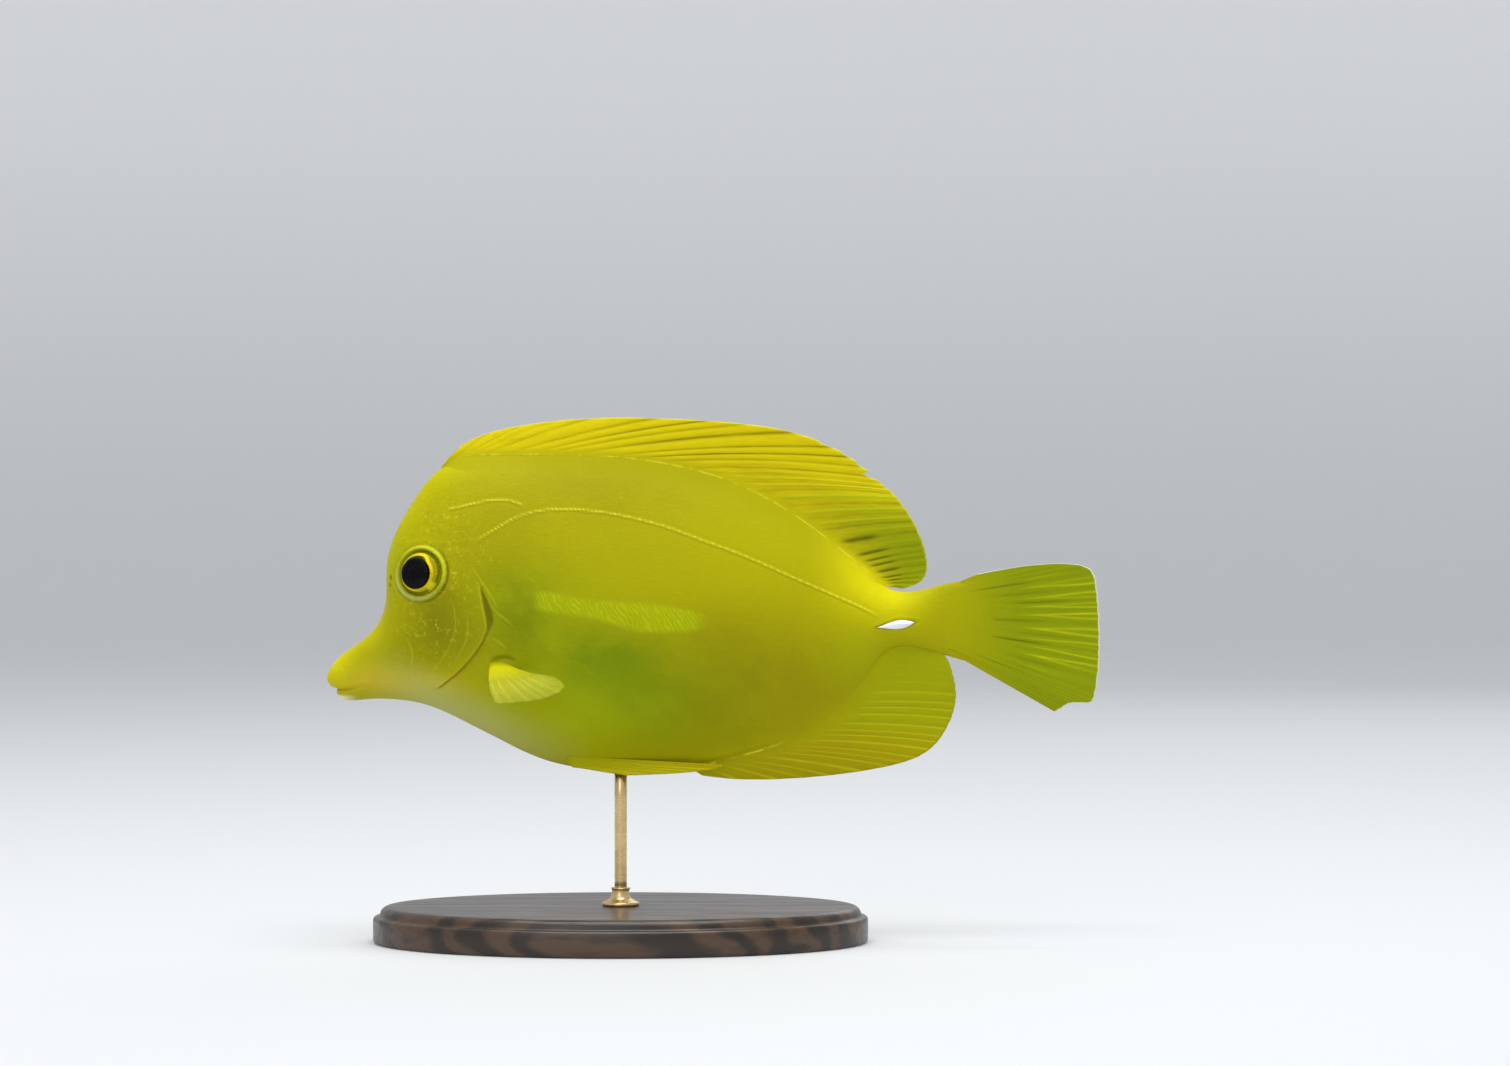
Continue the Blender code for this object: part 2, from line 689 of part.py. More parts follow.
def make_jaws(head, looks, parent):
    """Parts the upper lip and the lower jaw from the head, along the line of the mouth."""
    half_gap = SKIN_GAP / 2
    lips = MOUTH_LINE[:2]
    pieces = (
        ("upper_lip", 1, (lips, UPPER_LIP_REAR_LINE), ABOVE_SNOUT),
        ("lower_jaw", -1, (MOUTH_LINE, LOWER_JAW_REAR_LINE), BELOW_SNOUT),
    )
    for name, inwards, lines, corner in pieces:
        distance = inwards * half_gap
        piece_outline = [p for line in lines for p in shifted(line, distance)] + [corner]
        room_outline = [p for line in lines for p in shifted(line, -distance)] + [corner]
        piece = combine(flesh(name), "INTERSECT", prism("piece_room", piece_outline))
        combine(head, "DIFFERENCE", prism("room", room_outline))
        finished(piece, name, looks["skin"], parent)


def make_body(looks, parent):
    """Divides the flesh into the parts that a person would name."""
    surface_object = flesh("surface")
    surface = BVHTree.FromObject(surface_object, bpy.context.evaluated_depsgraph_get())
    bpy.data.objects.remove(surface_object)
    half_gap = SKIN_GAP / 2
    head_rear, stalk_front = drawn(HEAD_REAR_LINE), drawn(STALK_FRONT_LINE)
    head_room = region("head_room", shifted(head_rear, -half_gap), -FAR)
    head = combine(flesh("head"), "INTERSECT", head_room)
    trunk_room = between("trunk_room", shifted(head_rear, half_gap), shifted(stalk_front, -half_gap))
    trunk = combine(flesh("trunk"), "INTERSECT", trunk_room)
    stalk_room = region("stalk_room", shifted(stalk_front, half_gap), TOTAL_LENGTH)
    stalk = combine(flesh("stalk"), "INTERSECT", stalk_room)
    make_jaws(head, looks, parent)
    for side, word in SIDES:
        make_gill_cover(head, side, word, looks["skin"], parent)
        make_eye(head, surface, side, word, looks, parent)
        make_nostrils(head, surface, side)
        blade = spine_blade("blade", surface, side, 0.0)
        combine(stalk, "DIFFERENCE", spine_blade("groove", surface, side, SKIN_GAP))
        finished(blade, f"tail_spine_{word}", looks["bone"], parent)
    for name, obj in (("head", head), ("trunk", trunk), ("tail_stalk", stalk)):
        finished(obj, name, looks["skin"], parent)
    return surface


def make_fins(surface, looks, parent):
    """The seven fins, each cut back from the flesh so that it meets the skin face to face."""
    midline = (
        ("dorsal", DORSAL_RAYS, (0, 0, -FIN_SINK)),
        ("anal", ANAL_RAYS, (0, 0, FIN_SINK)),
        ("tail", TAIL_RAYS, (-TAIL_SINK, 0, 0)),
    )
    made = {}
    for kind, rays, sink in midline:
        made[f"{kind}_fin"] = fin(kind, kind, in_midplane(rays), sink)
    pectoral = [(*skin_place(surface, x, z, -1)[0], *tip) for x, z, *tip in PECTORAL_RAYS]
    for side, word in SIDES:
        same_side = list if side < 0 else mirrored
        sink = (0, -side * FIN_SINK, 0)
        made[f"pectoral_fin_{word}"] = fin(word, "pectoral", same_side(pectoral), sink)
        sink = (PELVIC_SINK[0], -side * PELVIC_SINK[1], PELVIC_SINK[2])
        made[f"pelvic_fin_{word}"] = fin(word, "pelvic", same_side(PELVIC_RAYS), sink)
    for name, obj in made.items():
        combine(obj, "DIFFERENCE", flesh("clear", grow=SKIN_GAP))
        finished(obj, name, looks["fin"], parent)


def turned(name, profile, look, parent, segments=32):
    """A round or oval solid, from its half length, half width and height at each level."""
    points, faces = [], []
    for half_length, half_width, height in profile:
        for s in range(segments):
            a = 2 * math.pi * s / segments
            points.append((half_length * math.cos(a), half_width * math.sin(a), height))
    for level in range(len(profile) - 1):
        for s in range(segments):
            a, nxt = level * segments, (s + 1) % segments
            faces.append((a + s, a + nxt, a + segments + nxt, a + segments + s))
    faces.append(tuple(range(segments - 1, -1, -1)))
    faces.append(tuple(range(len(points) - segments, len(points))))
    return finished(new_object(name, points, faces), name, look, parent)


def round_levels(*levels):
    """The profile of a round solid, from its radius and height at each level."""
    return [(radius, radius, height) for radius, height in levels]


def make_stand(looks, fish):
    """A flat oval base, a collar and one rod up to the belly between the pelvic fins."""
    stand = new_empty("stand", ROD_X - TOTAL_LENGTH / 2, 0)
    long, wide = BASE_LENGTH / 2, BASE_WIDTH / 2
    base_profile = (
        (long - BASE_EDGE, wide - BASE_EDGE, 0.0),
        (long, wide, BASE_EDGE),
        (long, wide, BASE_THICKNESS - BASE_EDGE),
        (long - BASE_EDGE, wide - BASE_EDGE, BASE_THICKNESS),
    )
    turned("stand_base", base_profile, looks["base"], stand, 64)
    low = BASE_THICKNESS + SKIN_GAP
    collar_profile = round_levels(
        (COLLAR_RADIUS, low),
        (COLLAR_RADIUS, low + COLLAR_HEIGHT - COLLAR_CHAMFER),
        (COLLAR_RADIUS - COLLAR_CHAMFER, low + COLLAR_HEIGHT),
    )
    collar = turned("stand_collar", collar_profile, looks["brass"], stand)
    bore = round_levels((ROD_RADIUS + SKIN_GAP, 0.0), (ROD_RADIUS + SKIN_GAP, 2 * BASE_THICKNESS))
    combine(collar, "DIFFERENCE", turned("bore", bore, looks["brass"], stand, 24))
    rod_profile = round_levels((ROD_RADIUS, low), (ROD_RADIUS, AXIS_HEIGHT))
    rod = turned("stand_rod", rod_profile, looks["brass"], stand, 20)
    around = flesh("clear", grow=SKIN_GAP)
    around.parent = fish
    bpy.context.view_layer.update()
    combine(rod, "DIFFERENCE", around)


def main():
    """Builds the fish, its fins and its stand."""
    clear_scene()
    looks = {
        "skin": material("yellow skin", (0.62, 0.55, 0.02), 0.45),
        "fin": material("yellow fin", (0.66, 0.60, 0.02), 0.4),
        "iris": material("golden iris", (0.60, 0.52, 0.03), 0.2),
        "pupil": material("black pupil", (0.004, 0.004, 0.005), 0.08),
        "bone": material("white spine", (0.9, 0.9, 0.88), 0.3),
        "base": material("dark wood", (0.035, 0.022, 0.015), 0.4),
        "brass": material("brushed brass", (0.60, 0.46, 0.22), 0.3, 1.0),
    }
    fish = new_empty("fish", -TOTAL_LENGTH / 2, AXIS_HEIGHT)
    surface = make_body(looks, fish)
    make_fins(surface, looks, fish)
    make_stand(looks, fish)


main()
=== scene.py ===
"""The looks of the yellow tang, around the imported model.

Lengths are in millimetres. The fish's own axes are x aft from the tip of the snout, y to the fish's
right and z up from the axis through the tail stalk; placed() turns them into the model's metres.
"""

import math
from typing import NamedTuple

import bmesh
import bpy
import numpy as np
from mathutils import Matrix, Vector
from mathutils.bvhtree import BVHTree


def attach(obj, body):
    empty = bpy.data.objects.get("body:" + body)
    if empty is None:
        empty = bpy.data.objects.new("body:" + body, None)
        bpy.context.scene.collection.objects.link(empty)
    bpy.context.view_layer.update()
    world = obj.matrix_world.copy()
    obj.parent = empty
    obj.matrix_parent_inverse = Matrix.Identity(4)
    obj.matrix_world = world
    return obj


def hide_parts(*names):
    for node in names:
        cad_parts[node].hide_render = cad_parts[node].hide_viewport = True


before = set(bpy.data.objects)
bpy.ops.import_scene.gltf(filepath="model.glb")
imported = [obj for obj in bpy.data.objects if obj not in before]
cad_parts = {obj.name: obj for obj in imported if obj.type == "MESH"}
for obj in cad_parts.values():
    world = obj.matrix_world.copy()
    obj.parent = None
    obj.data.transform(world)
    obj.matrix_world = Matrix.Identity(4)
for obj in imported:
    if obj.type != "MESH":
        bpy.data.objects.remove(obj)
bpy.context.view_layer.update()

MM = 0.001
FAR = 1e4
SNOUT_X = -75.0
AXIS_HEIGHT = 62.5
SIDES = ((-1, "left"), (1, "right"))

# The body's ribs, as in the solids: back x and z, belly x and z, half width, section sharpness.
# The last three carry the skin out over the root of the tail fin, where it thins to nothing.
RIBS = (
    (0.1, -10.6, 0.2, -12.1, 1.3, 0.50),
    (0.9, -8.9, 1.1, -13.1, 2.4, 0.50),
    (1.6, -8.1, 2.0, -13.5, 2.9, 0.50),
    (2.5, -7.2, 2.1, -14.6, 3.2, 0.50),
    (3.7, -6.1, 3.1, -15.6, 3.5, 0.50),
    (5.2, -5.2, 4.9, -15.8, 3.8, 0.52),
    (7.8, -3.4, 8.7, -15.3, 4.3, 0.55),
    (10.7, -0.1, 12.6, -15.4, 5.0, 0.60),
    (11.7, 4.3, 16.1, -15.7, 5.8, 0.64),
    (11.4, 8.9, 20.0, -16.6, 6.6, 0.68),
    (11.9, 13.5, 24.3, -18.5, 7.4, 0.70),
    (14.0, 18.6, 28.1, -20.5, 8.2, 0.72),
    (17.3, 23.9, 32.8, -22.8, 8.9, 0.74),
    (20.9, 29.0, 37.8, -25.5, 9.5, 0.76),
    (26.4, 31.7, 43.3, -27.7, 10.0, 0.80),
    (34.2, 31.8, 49.5, -28.9, 10.3, 0.85),
    (43.0, 31.8, 55.9, -29.1, 10.4, 0.89),
    (53.0, 31.7, 62.7, -29.0, 10.1, 0.92),
    (62.7, 30.7, 69.5, -28.7, 9.5, 0.93),
    (72.2, 28.8, 75.9, -27.7, 8.6, 0.93),
    (80.1, 26.1, 82.1, -26.1, 7.6, 0.92),
    (87.1, 22.4, 87.9, -23.8, 6.6, 0.90),
    (93.7, 18.0, 93.9, -20.8, 5.6, 0.87),
    (99.3, 13.5, 99.5, -17.0, 4.7, 0.82),
    (104.2, 9.5, 104.3, -11.5, 3.9, 0.75),
    (108.4, 5.8, 108.6, -5.4, 3.2, 0.64),
    (112.8, 5.1, 112.8, -4.9, 2.7, 0.58),
    (117.0, 6.1, 117.0, -6.0, 2.1, 0.56),
    (120.8, 7.3, 121.2, -7.3, 1.35, 0.56),
    (124.4, 7.5, 124.6, -8.2, 0.85, 0.60),
    (128.0, 7.5, 128.0, -9.2, 0.42, 0.64),
    (131.0, 6.8, 131.0, -9.4, 0.10, 0.70),
)
SIDE_FLATNESS = 2.0
HEAD_SPACING = 0.24
BODY_SPACING = 0.42
HEAD_ENDS_AT = 38.0
SIDE_POINTS = 180

# Lines on the side of the head and body.
GILL_LINE = (
    (30.2, 7.2), (30.7, 5.0), (31.1, 2.4), (31.7, -0.2), (31.9, -1.8), (30.5, -4.8),
    (27.7, -8.5), (24.6, -11.2), (21.4, -13.5),
)
COLLAR_LINES = (
    ((28.6, 10.4), (30.6, 7.4), (32.6, 4.4), (34.0, 2.0)),
    ((32.2, 3.2), (33.6, 1.2), (35.4, 0.2), (36.8, -1.4)),
    ((32.6, -3.4), (34.2, -4.4), (35.6, -5.6)),
)
CHEEK_LINES = (
    ((27.6, 2.0), (28.2, -1.6), (27.4, -5.0), (25.0, -8.6)),
    ((24.6, 4.4), (25.8, 0.8), (25.4, -3.4), (22.8, -8.0), (19.6, -11.6)),
    ((15.6, -3.2), (17.6, -6.4), (16.6, -9.6)),
)
MOUTH_LINE = ((1.4, -13.4), (2.6, -13.6), (5.0, -13.5), (7.2, -12.8))
LIP_LINE = ((4.8, -13.2), (4.4, -11.2), (3.4, -9.0), (2.2, -7.2))
PECTORAL_PAD = (34.6, -9.6, 2.8, 1.6)
PECTORAL_ARCH = ((32.2, -8.4), (33.2, -7.4), (34.8, -7.0), (36.4, -7.3), (37.4, -8.2))
LATERAL_LINE = (
    (28.7, 14.9), (33.4, 17.7), (36.7, 19.8), (40.2, 21.0), (45.0, 21.5), (48.9, 21.4),
    (54.5, 20.8), (59.4, 19.8), (66.8, 17.9), (72.0, 15.7), (80.5, 12.8), (87.1, 9.7),
    (96.4, 5.6), (104.2, 2.3), (107.3, 0.4),
)
NAPE_LINE = ((23.7, 21.4), (26.6, 21.9), (30.5, 23.0), (35.3, 23.5), (38.6, 22.1))
PALE_BAND = (
    (40.9, 3.7, 1.6), (44.2, 3.5, 2.0), (49.5, 2.5, 1.4), (54.1, 1.9, 1.9), (58.1, 0.9, 2.5),
    (62.1, 0.4, 2.7), (66.8, 0.3, 2.4), (70.7, -0.1, 2.0), (74.0, -0.1, 1.2),
)
NOSTRILS = ((12.75, 8.1, 0.45), (12.6, 6.7, 0.38))

# Heights, depths and widths of the relief on the skin.
GILL_FLAP_HEIGHT = 0.26
GILL_FLAP_REACH = 2.2
GAPE_NARROW = 0.25
GAPE_WIDENS_BY = 1.25
FOLD_HEIGHT = 0.10
FOLD_WIDTH = 0.17
MOUTH_DEPTH = 0.32
MOUTH_WIDTH = 0.22
LIP_DEPTH = 0.08
LIP_WIDTH = 0.32
PECTORAL_PAD_HEIGHT = 0.35
PECTORAL_ARCH_DEPTH = 0.35
PECTORAL_ARCH_WIDTH = 0.42
CANAL_WIDTH = 0.15
# Each canal: its line, its height and its number of beads.
CANALS = ((LATERAL_LINE, 0.11, 84), (NAPE_LINE, 0.09, 20))
SPINE_GROOVE_DEPTH = 0.35
NOSTRIL_DEPTH = 0.8

# Where the skin's marks rise or fall, from and to: along x, up z, or in from the outline.
# The top of the tail stalk is painted brighter: painted light from above.
TOP_LIT_REAR_X = (92.0, 110.0)
TOP_LIT_REAR_Z = (-5.0, 6.0)
BRIGHT_SNOUT_X = (1.5, 7.0)
BRIGHT_SNOUT_Z = (-14.5, -11.0)
LIT_NAPE_IN = (0.0, 7.0)
LIT_NAPE_X = (24.0, 34.0)
THROAT_IN = (2.0, 14.0)
THROAT_BEGINS_X = (6.0, 22.0)
THROAT_ENDS_X = (30.0, 54.0)
# The keel's thin pale rim is painted light.
KEEL_RIM_LIGHT_IN = (0.2, 1.6)
LIP_X = (3.0, 6.5)
LIP_Z = (-15.0, -14.2)
BAND_BEGINS_X = (40.0, 42.5)
BAND_ENDS_X = (70.0, 74.5)
BAND_EDGE = 0.6
TAIL_STALK_X = (109.0, 120.0)
TAIL_ROOT_X = (120.0, 136.0)
# Where the head is wrinkled: soft ovals like those in PATCHES.
WRINKLED = ((23.0, 11.0, 9.0, 12.0, 1.0), (20.0, -3.0, 7.0, 8.0, 0.6))

EYE_CENTRE = (18.7, 9.1)
EYE_RADIUS = 4.5
EYE_DEPTH = 3.0
EYE_SUNK = 1.0
EYE_LEANS_FORWARD = 0.15
EYE_LEANS_DOWN = 0.14
PUPIL_RADIUS = 2.95
# The raised rim round the eye: height, and the distances from the axis where it rises and falls.
RIM_HEIGHT = 0.62
RIM_RISES = (4.1, 4.55)
RIM_FALLS = (5.0, 5.75)
SOCKET_DEPTH = 2.6
SOCKET_EDGE = (4.05, 4.35)
# Its colours: where they rise and fall, and the distance and the side, in radians from the front,
# of the painted highlight on the lit crest, the painted pale reflection and the painted shade line round it.
RIM_TINT_RISES = (4.2, 4.6)
RIM_TINT_FALLS = (5.3, 5.7)
RIM_CREST = 5.0
RIM_LIT_SIDE = 0.9
RIM_SHEEN_SIDE = -2.2
RIM_OUTLINE = 5.62
RIM_SHADED_SIDE = -0.25
EYE_REACH = 12.0

# Rays of the fins, as in the solids: root and tip.
DORSAL_RAYS = (
    (22.0, 28.6, 22.4, 30.0),
    (23.1, 29.9, 26.3, 34.5),
    (24.6, 30.8, 33.0, 36.9),
    (26.4, 31.3, 41.5, 38.3),
    (29.2, 31.6, 51.5, 39.2),
    (33.6, 31.7, 63.0, 39.2),
    (38.4, 31.7, 76.5, 38.5),
    (43.5, 31.7, 87.8, 37.3),
    (50.0, 31.5, 96.3, 34.6),
    (57.0, 31.2, 101.5, 31.7),
    (64.0, 30.3, 105.2, 28.9),
    (70.5, 28.9, 106.6, 27.2),
    (76.3, 27.3, 108.4, 25.8),
    (82.0, 24.9, 109.9, 24.5),
    (87.4, 22.0, 111.5, 22.6),
    (92.4, 18.8, 113.2, 20.2),
    (96.8, 15.4, 114.5, 17.8),
    (100.3, 12.6, 115.5, 15.4),
    (102.5, 10.8, 116.1, 13.5),
    (104.1, 9.5, 116.4, 11.9),
    (105.5, 8.3, 116.6, 10.3),
    (106.6, 7.4, 116.3, 8.6),
    (107.4, 6.8, 115.2, 7.0),
    (107.9, 6.4, 112.0, 6.0),
)
ANAL_RAYS = (
    (69.0, -28.4, 73.0, -30.3),
    (71.2, -28.1, 80.0, -31.2),
    (74.2, -27.5, 91.0, -30.9),
    (78.0, -26.6, 101.0, -29.9),
    (81.8, -25.6, 109.0, -28.5),
    (85.2, -24.6, 114.3, -27.0),
    (88.8, -23.3, 117.5, -24.9),
    (92.6, -21.5, 119.4, -22.6),
    (96.2, -19.4, 120.8, -20.1),
    (99.3, -17.1, 121.8, -17.4),
    (102.0, -14.5, 122.2, -14.6),
    (104.2, -11.6, 121.8, -12.0),
    (106.2, -8.8, 121.1, -9.2),
    (108.0, -6.3, 120.3, -7.2),
    (110.0, -4.3, 118.6, -5.9),
)
TAIL_RAYS = (
    (120.4, 6.4, 126.5, 8.9),
    (120.6, 6.2, 137.5, 10.95),
    (120.8, 5.8, 148.2, 11.0),
    (121.2, 4.6, 149.3, 8.0),
    (121.7, 2.3, 149.8, 3.2),
    (121.9, 0.0, 150.0, -1.6),
    (121.7, -2.3, 150.0, -6.4),
    (121.4, -4.0, 149.7, -11.0),
    (121.2, -5.0, 148.9, -15.8),
    (121.1, -5.6, 148.0, -16.3),
    (121.0, -5.8, 144.1, -15.9),
    (120.9, -6.1, 143.0, -17.0),
    (120.8, -6.3, 141.3, -17.9),
)
PECTORAL_RAYS = (
    (32.2, -8.7, 34.6, -30.0, -15.0),
    (32.9, -8.4, 38.6, -29.6, -14.9),
    (33.9, -8.3, 43.0, -26.8, -14.4),
    (35.0, -8.5, 46.4, -22.4, -13.3),
    (36.0, -9.0, 47.4, -17.6, -12.0),
    (36.8, -9.6, 44.6, -13.6, -10.6),
)
PELVIC_RAYS = (
    (47.0, -1.7, -26.4, 76.4, -2.8, -28.0),
    (47.3, -1.6, -27.0, 77.4, -2.6, -28.6),
    (47.7, -1.5, -27.7, 70.0, -2.5, -29.7),
    (48.2, -1.4, -28.6, 58.0, -2.3, -30.1),
)


class FinForm(NamedTuple):
    """How a fin is built: counts, then millimetres, or shares of a ray's length."""

    ray_count: int
    steps_between_rays: int
    steps_along_ray: int
    half_thickness: float
    fold_height: float
    tip_step: float
    sink: tuple
    root_flare: float = 0.0
    flare_reach: float = 1.0
    blend: float = 0.0
    bowing: float = 0.0
    sway: float = 0.0
    waves: float = 0.0
    edge_share: float = 0.05
    torn: tuple = ()


# Tears in the margin: the gap between rays, counted from the front, and the depth.
DORSAL_TEARS = ((9, 0.5), (10, 0.35), (11, 0.6), (12, 1.5), (14, 0.4))
FINS = {
    "dorsal": FinForm(
        28, 14, 90, 0.20, 0.26, 0.13, (0, 0, -5.2),
        blend=2.4, bowing=0.02, sway=0.5, waves=2.5, edge_share=0.16, torn=DORSAL_TEARS,
    ),
    "anal": FinForm(
        23, 14, 70, 0.20, 0.09, 0.10, (0, 0, 5.2),
        blend=2.4, bowing=-0.02, sway=0.4, waves=2.0, edge_share=0.12,
    ),
    "tail": FinForm(
        22, 16, 80, 0.16, 0.12, 0.12, (-1.6, 0, 0),
        root_flare=0.85, flare_reach=4.5, sway=0.7, waves=1.0, edge_share=0.25,
    ),
    "pectoral": FinForm(
        9, 14, 44, 0.12, 0.05, 0.25, (0, 1.6, 0), root_flare=0.45, flare_reach=2.0, bowing=0.03,
    ),
    "pelvic": FinForm(6, 12, 56, 0.15, 0.08, 0.10, (-1.2, 0.8, 0.8), root_flare=0.25, flare_reach=2.0),
}
# The line of pale dashes along a fin's root: from x, to x, and strength.
SEAMS = {"dorsal": (26.0, 108.0, 0.4), "anal": (69.0, 90.0, 0.7)}
# Where the fins' folds change, from and to: in x of the membrane or of the ray's root, or in z.
DORSAL_GOLD_ENDS = (64.0, 76.0)
DORSAL_LINES_BEGIN = (66.0, 80.0)
DORSAL_GREEN_BEGINS = (74.0, 102.0)
DORSAL_DASHES_BEGIN = (93.0, 98.0)
DORSAL_DASHES_END = (106.6, 107.6)
DORSAL_SHADE_BEGINS = (48.0, 72.0)
DORSAL_VALLEYS_DEEPEN = (42.0, 66.0)
DORSAL_FOLDS_RISE = (36.0, 56.0)
ANAL_LINES_END = (100.0, 106.0)
ANAL_GREEN_BEGINS = (84.0, 100.0)
TAIL_INNER_FROM_Z = (-12.0, -7.0)
TAIL_INNER_TO_Z = (7.0, 9.5)
TAIL_DASHES_BEGIN = (127.0, 133.0)
TAIL_DASHES_END = (136.0, 143.0)
TAIL_LINES_BEGIN = (133.0, 139.0)
TAIL_VALLEYS_BEGIN = (130.0, 138.0)
TAIL_FOLDS_RISE = (125.0, 134.0)
# Widths of lines on the fins, as shares of the gap between rays.
VALLEY_WIDTH = 0.13
DORSAL_LINE_WIDTH = 0.09
DORSAL_DASH_WIDTH = 0.15
ANAL_LINE_WIDTH = 0.10
TAIL_LINE_WIDTH = 0.07
BURIED_ROWS = 14
SKIN_SLOPE = 0.75

SPINE_TIP = (106.5, -1.5)
SPINE_HINGE = (113.9, -0.5)
SPINE_HALF_DEPTH = 0.88
SPINE_STANDS_PROUD = 0.135

BASE_LENGTH = 96.0
BASE_WIDTH = 66.0
BASE_THICKNESS = 7.0
# The moulded edge of the base: inset and height, and where the rounding over it begins and ends.
BASE_EDGE = (
    (1.1, 0.0), (0.5, 0.05), (0.15, 0.3), (0.0, 0.8), (0.0, 4.4), (0.1, 4.75), (0.35, 5.0),
    (0.75, 5.1), (1.15, 5.15), (1.3, 5.35),
)
BASE_ROUND = ((1.35, 5.4), (3.0, BASE_THICKNESS))
BASE_TOP_INSET = 4.2
# The collar's foot, the bell above it and its top: radius and height above the base.
COLLAR_FOOT = ((3.4, 0.0), (3.6, 0.15), (3.6, 0.7), (3.25, 0.85), (2.7, 1.0), (2.6, 1.2))
COLLAR_BELL = ((2.6, 1.2), (1.7, 3.1))
COLLAR_TOP = ((1.75, 3.25), (1.9, 3.35), (1.9, 3.5), (1.6, 3.6), (1.1, 3.6))
ROD_X = 57.0
ROD_RADIUS = 1.2
ROD_LEVELS = (BASE_THICKNESS + 0.3, 12.0, 20.0, 28.0, AXIS_HEIGHT - 27.2)

# The studio, in metres: a flat floor that bends up to a round wall, and soft square lights, with
# each one's place, target, size and power in watts.
FLOOR_RADIUS = 2.2
WALL_RADIUS = 3.0
WALL_HEIGHT = 1.8
FLOOR_SEGMENTS = 96
LIGHTS = {
    "top": ((0.0, -0.12, 0.85), (0.0, 0.0, 0.06), 0.7, 6.5),
    "front": ((-0.35, -1.1, 0.55), (0.0, 0.0, 0.07), 0.8, 2.4),
    "back": ((0.4, 0.9, 0.7), (0.0, 0.0, 0.08), 0.6, 1.5),
}
SKY_STRENGTH = 0.66

# The camera looks level along +Y; the frame's width is measured at the fish.
CAMERA_DISTANCE = 800.0
CAMERA_X = 8.05
CAMERA_Z = 79.3
FRAME_WIDTH = 293.0
SENSOR_WIDTH = 36.0

# Colours, linear. The patches are laid over the yellow in this order.
YELLOW = (0.42, 0.39, 0.002)
PATCH_COLOURS = {
    # Bright yellow, which also paints the light from above on the nape and on the top of the tail stalk.
    "bright": (0.76, 0.68, 0.003),
    "ochre": (0.30, 0.265, 0.002),
    "green": (0.19, 0.26, 0.002),
    "olive": (0.22, 0.215, 0.002),
    "amber": (0.66, 0.50, 0.03),
    # A paler yellow-green that lifts the lower flank: painted light from below.
    "lit_below": (0.45, 0.54, 0.003),
}
PALE = (0.43, 0.485, 0.003)
THROAT = (0.46, 0.47, 0.13)
LIP = (0.76, 0.74, 0.40)
SHADE = (0.17, 0.15, 0.003)
CREASE_SHADE = (0.30, 0.19, 0.007)
BLACK = (0.030, 0.028, 0.002)
CANAL = (0.82, 0.78, 0.04)
EYE_RIM = (0.25, 0.28, 0.003)
RIM_GLEAM = (0.70, 0.72, 0.03)
# A painted pale reflection on the eye's rim.
RIM_SHEEN = (0.58, 0.62, 0.24)
TAIL_ROOT = (0.38, 0.365, 0.002)
TAIL_WEB = (0.25, 0.30, 0.002)
IRIS_DARK = (0.15, 0.15, 0.002)
IRIS_LIGHT = (0.46, 0.42, 0.004)
IRIS_GREEN = (0.36, 0.42, 0.02)
IRIS_GOLD = (0.86, 0.62, 0.008)
IRIS_PATCH = (0.80, 0.66, 0.012)
IRIS_GROOVE_SHADE = (0.06, 0.06, 0.002)
IRIS_NOTCH = (0.02, 0.02, 0.002)
IRIS_WELL = (0.01, 0.01, 0.005)
SOFT_WHITE = (0.95, 0.97, 1.0)
# Marks laid over the skin's patches, in this order: name, strength and colour.
# The throat tint is partly the pale throat and partly painted light from below.
MOUTH_TINTS = (("throat", 0.9, THROAT), ("lip", 1.0, LIP))
LINE_TINTS = (
    ("tail", 1.0, TAIL_ROOT), ("web", 1.0, TAIL_WEB), ("canal", 0.9, CANAL), ("fold", 0.25, CANAL),
    ("rim", 0.75, EYE_RIM), ("gleam", 0.8, RIM_GLEAM), ("wet", 0.35, RIM_SHEEN),
)
# Painted shade: in the gill pocket, beside the canals and the pectoral fin, in the creases, and black in the
# recesses round the eyes and in the nostrils.
DARK_TINTS = (("shade", 1.0, SHADE), ("crease_shade", 1.0, CREASE_SHADE), ("recess_shade", 1.0, BLACK))

# Soft oval patches of each colour on the flesh: x, z, radius along x, radius along z, strength.
PATCHES = {
    "green": (
        (49.0, -8.0, 18.0, 12.0, 0.85), (64.0, -16.0, 13.0, 8.0, 0.6), (37.0, 4.0, 8.0, 8.0, 0.55),
        (14.0, 12.0, 3.0, 9.0, 0.4), (36.0, 5.0, 6.0, 8.0, 0.3), (53.0, -5.0, 11.0, 5.0, 0.25),
    ),
    "ochre": (
        (86.0, -12.0, 24.0, 12.0, 0.85), (70.0, -24.0, 16.0, 8.0, 0.3), (52.0, 25.0, 26.0, 8.0, 0.65),
        (33.0, 8.0, 9.0, 10.0, 0.5), (22.0, 0.0, 9.0, 9.0, 0.5), (79.0, -3.0, 12.0, 7.0, 0.3),
    ),
    # The olive oval at x 36.5, just behind the gill opening, is painted shadow of the gill cover.
    "olive": (
        (24.5, -1.5, 6.5, 7.0, 0.8), (22.0, 3.0, 5.0, 8.0, 0.4), (8.5, -12.0, 5.0, 3.0, 0.3),
        (36.5, 0.0, 5.0, 6.0, 0.45), (14.0, -6.0, 5.0, 5.0, 0.35), (6.0, -6.0, 4.0, 3.0, 0.3),
        (34.0, 15.0, 12.0, 8.0, 0.25), (84.0, -8.0, 18.0, 7.0, 0.3), (58.0, 12.0, 16.0, 6.0, 0.15),
    ),
    "amber": ((9.0, -11.5, 6.0, 2.8, 0.6), (19.0, -12.4, 8.0, 2.6, 0.5)),
    # Painted light from below, lifting the lower flank.
    "lit_below": ((46.0, -19.0, 17.0, 8.0, 0.5), (104.0, -7.0, 8.0, 6.0, 0.25)),
}


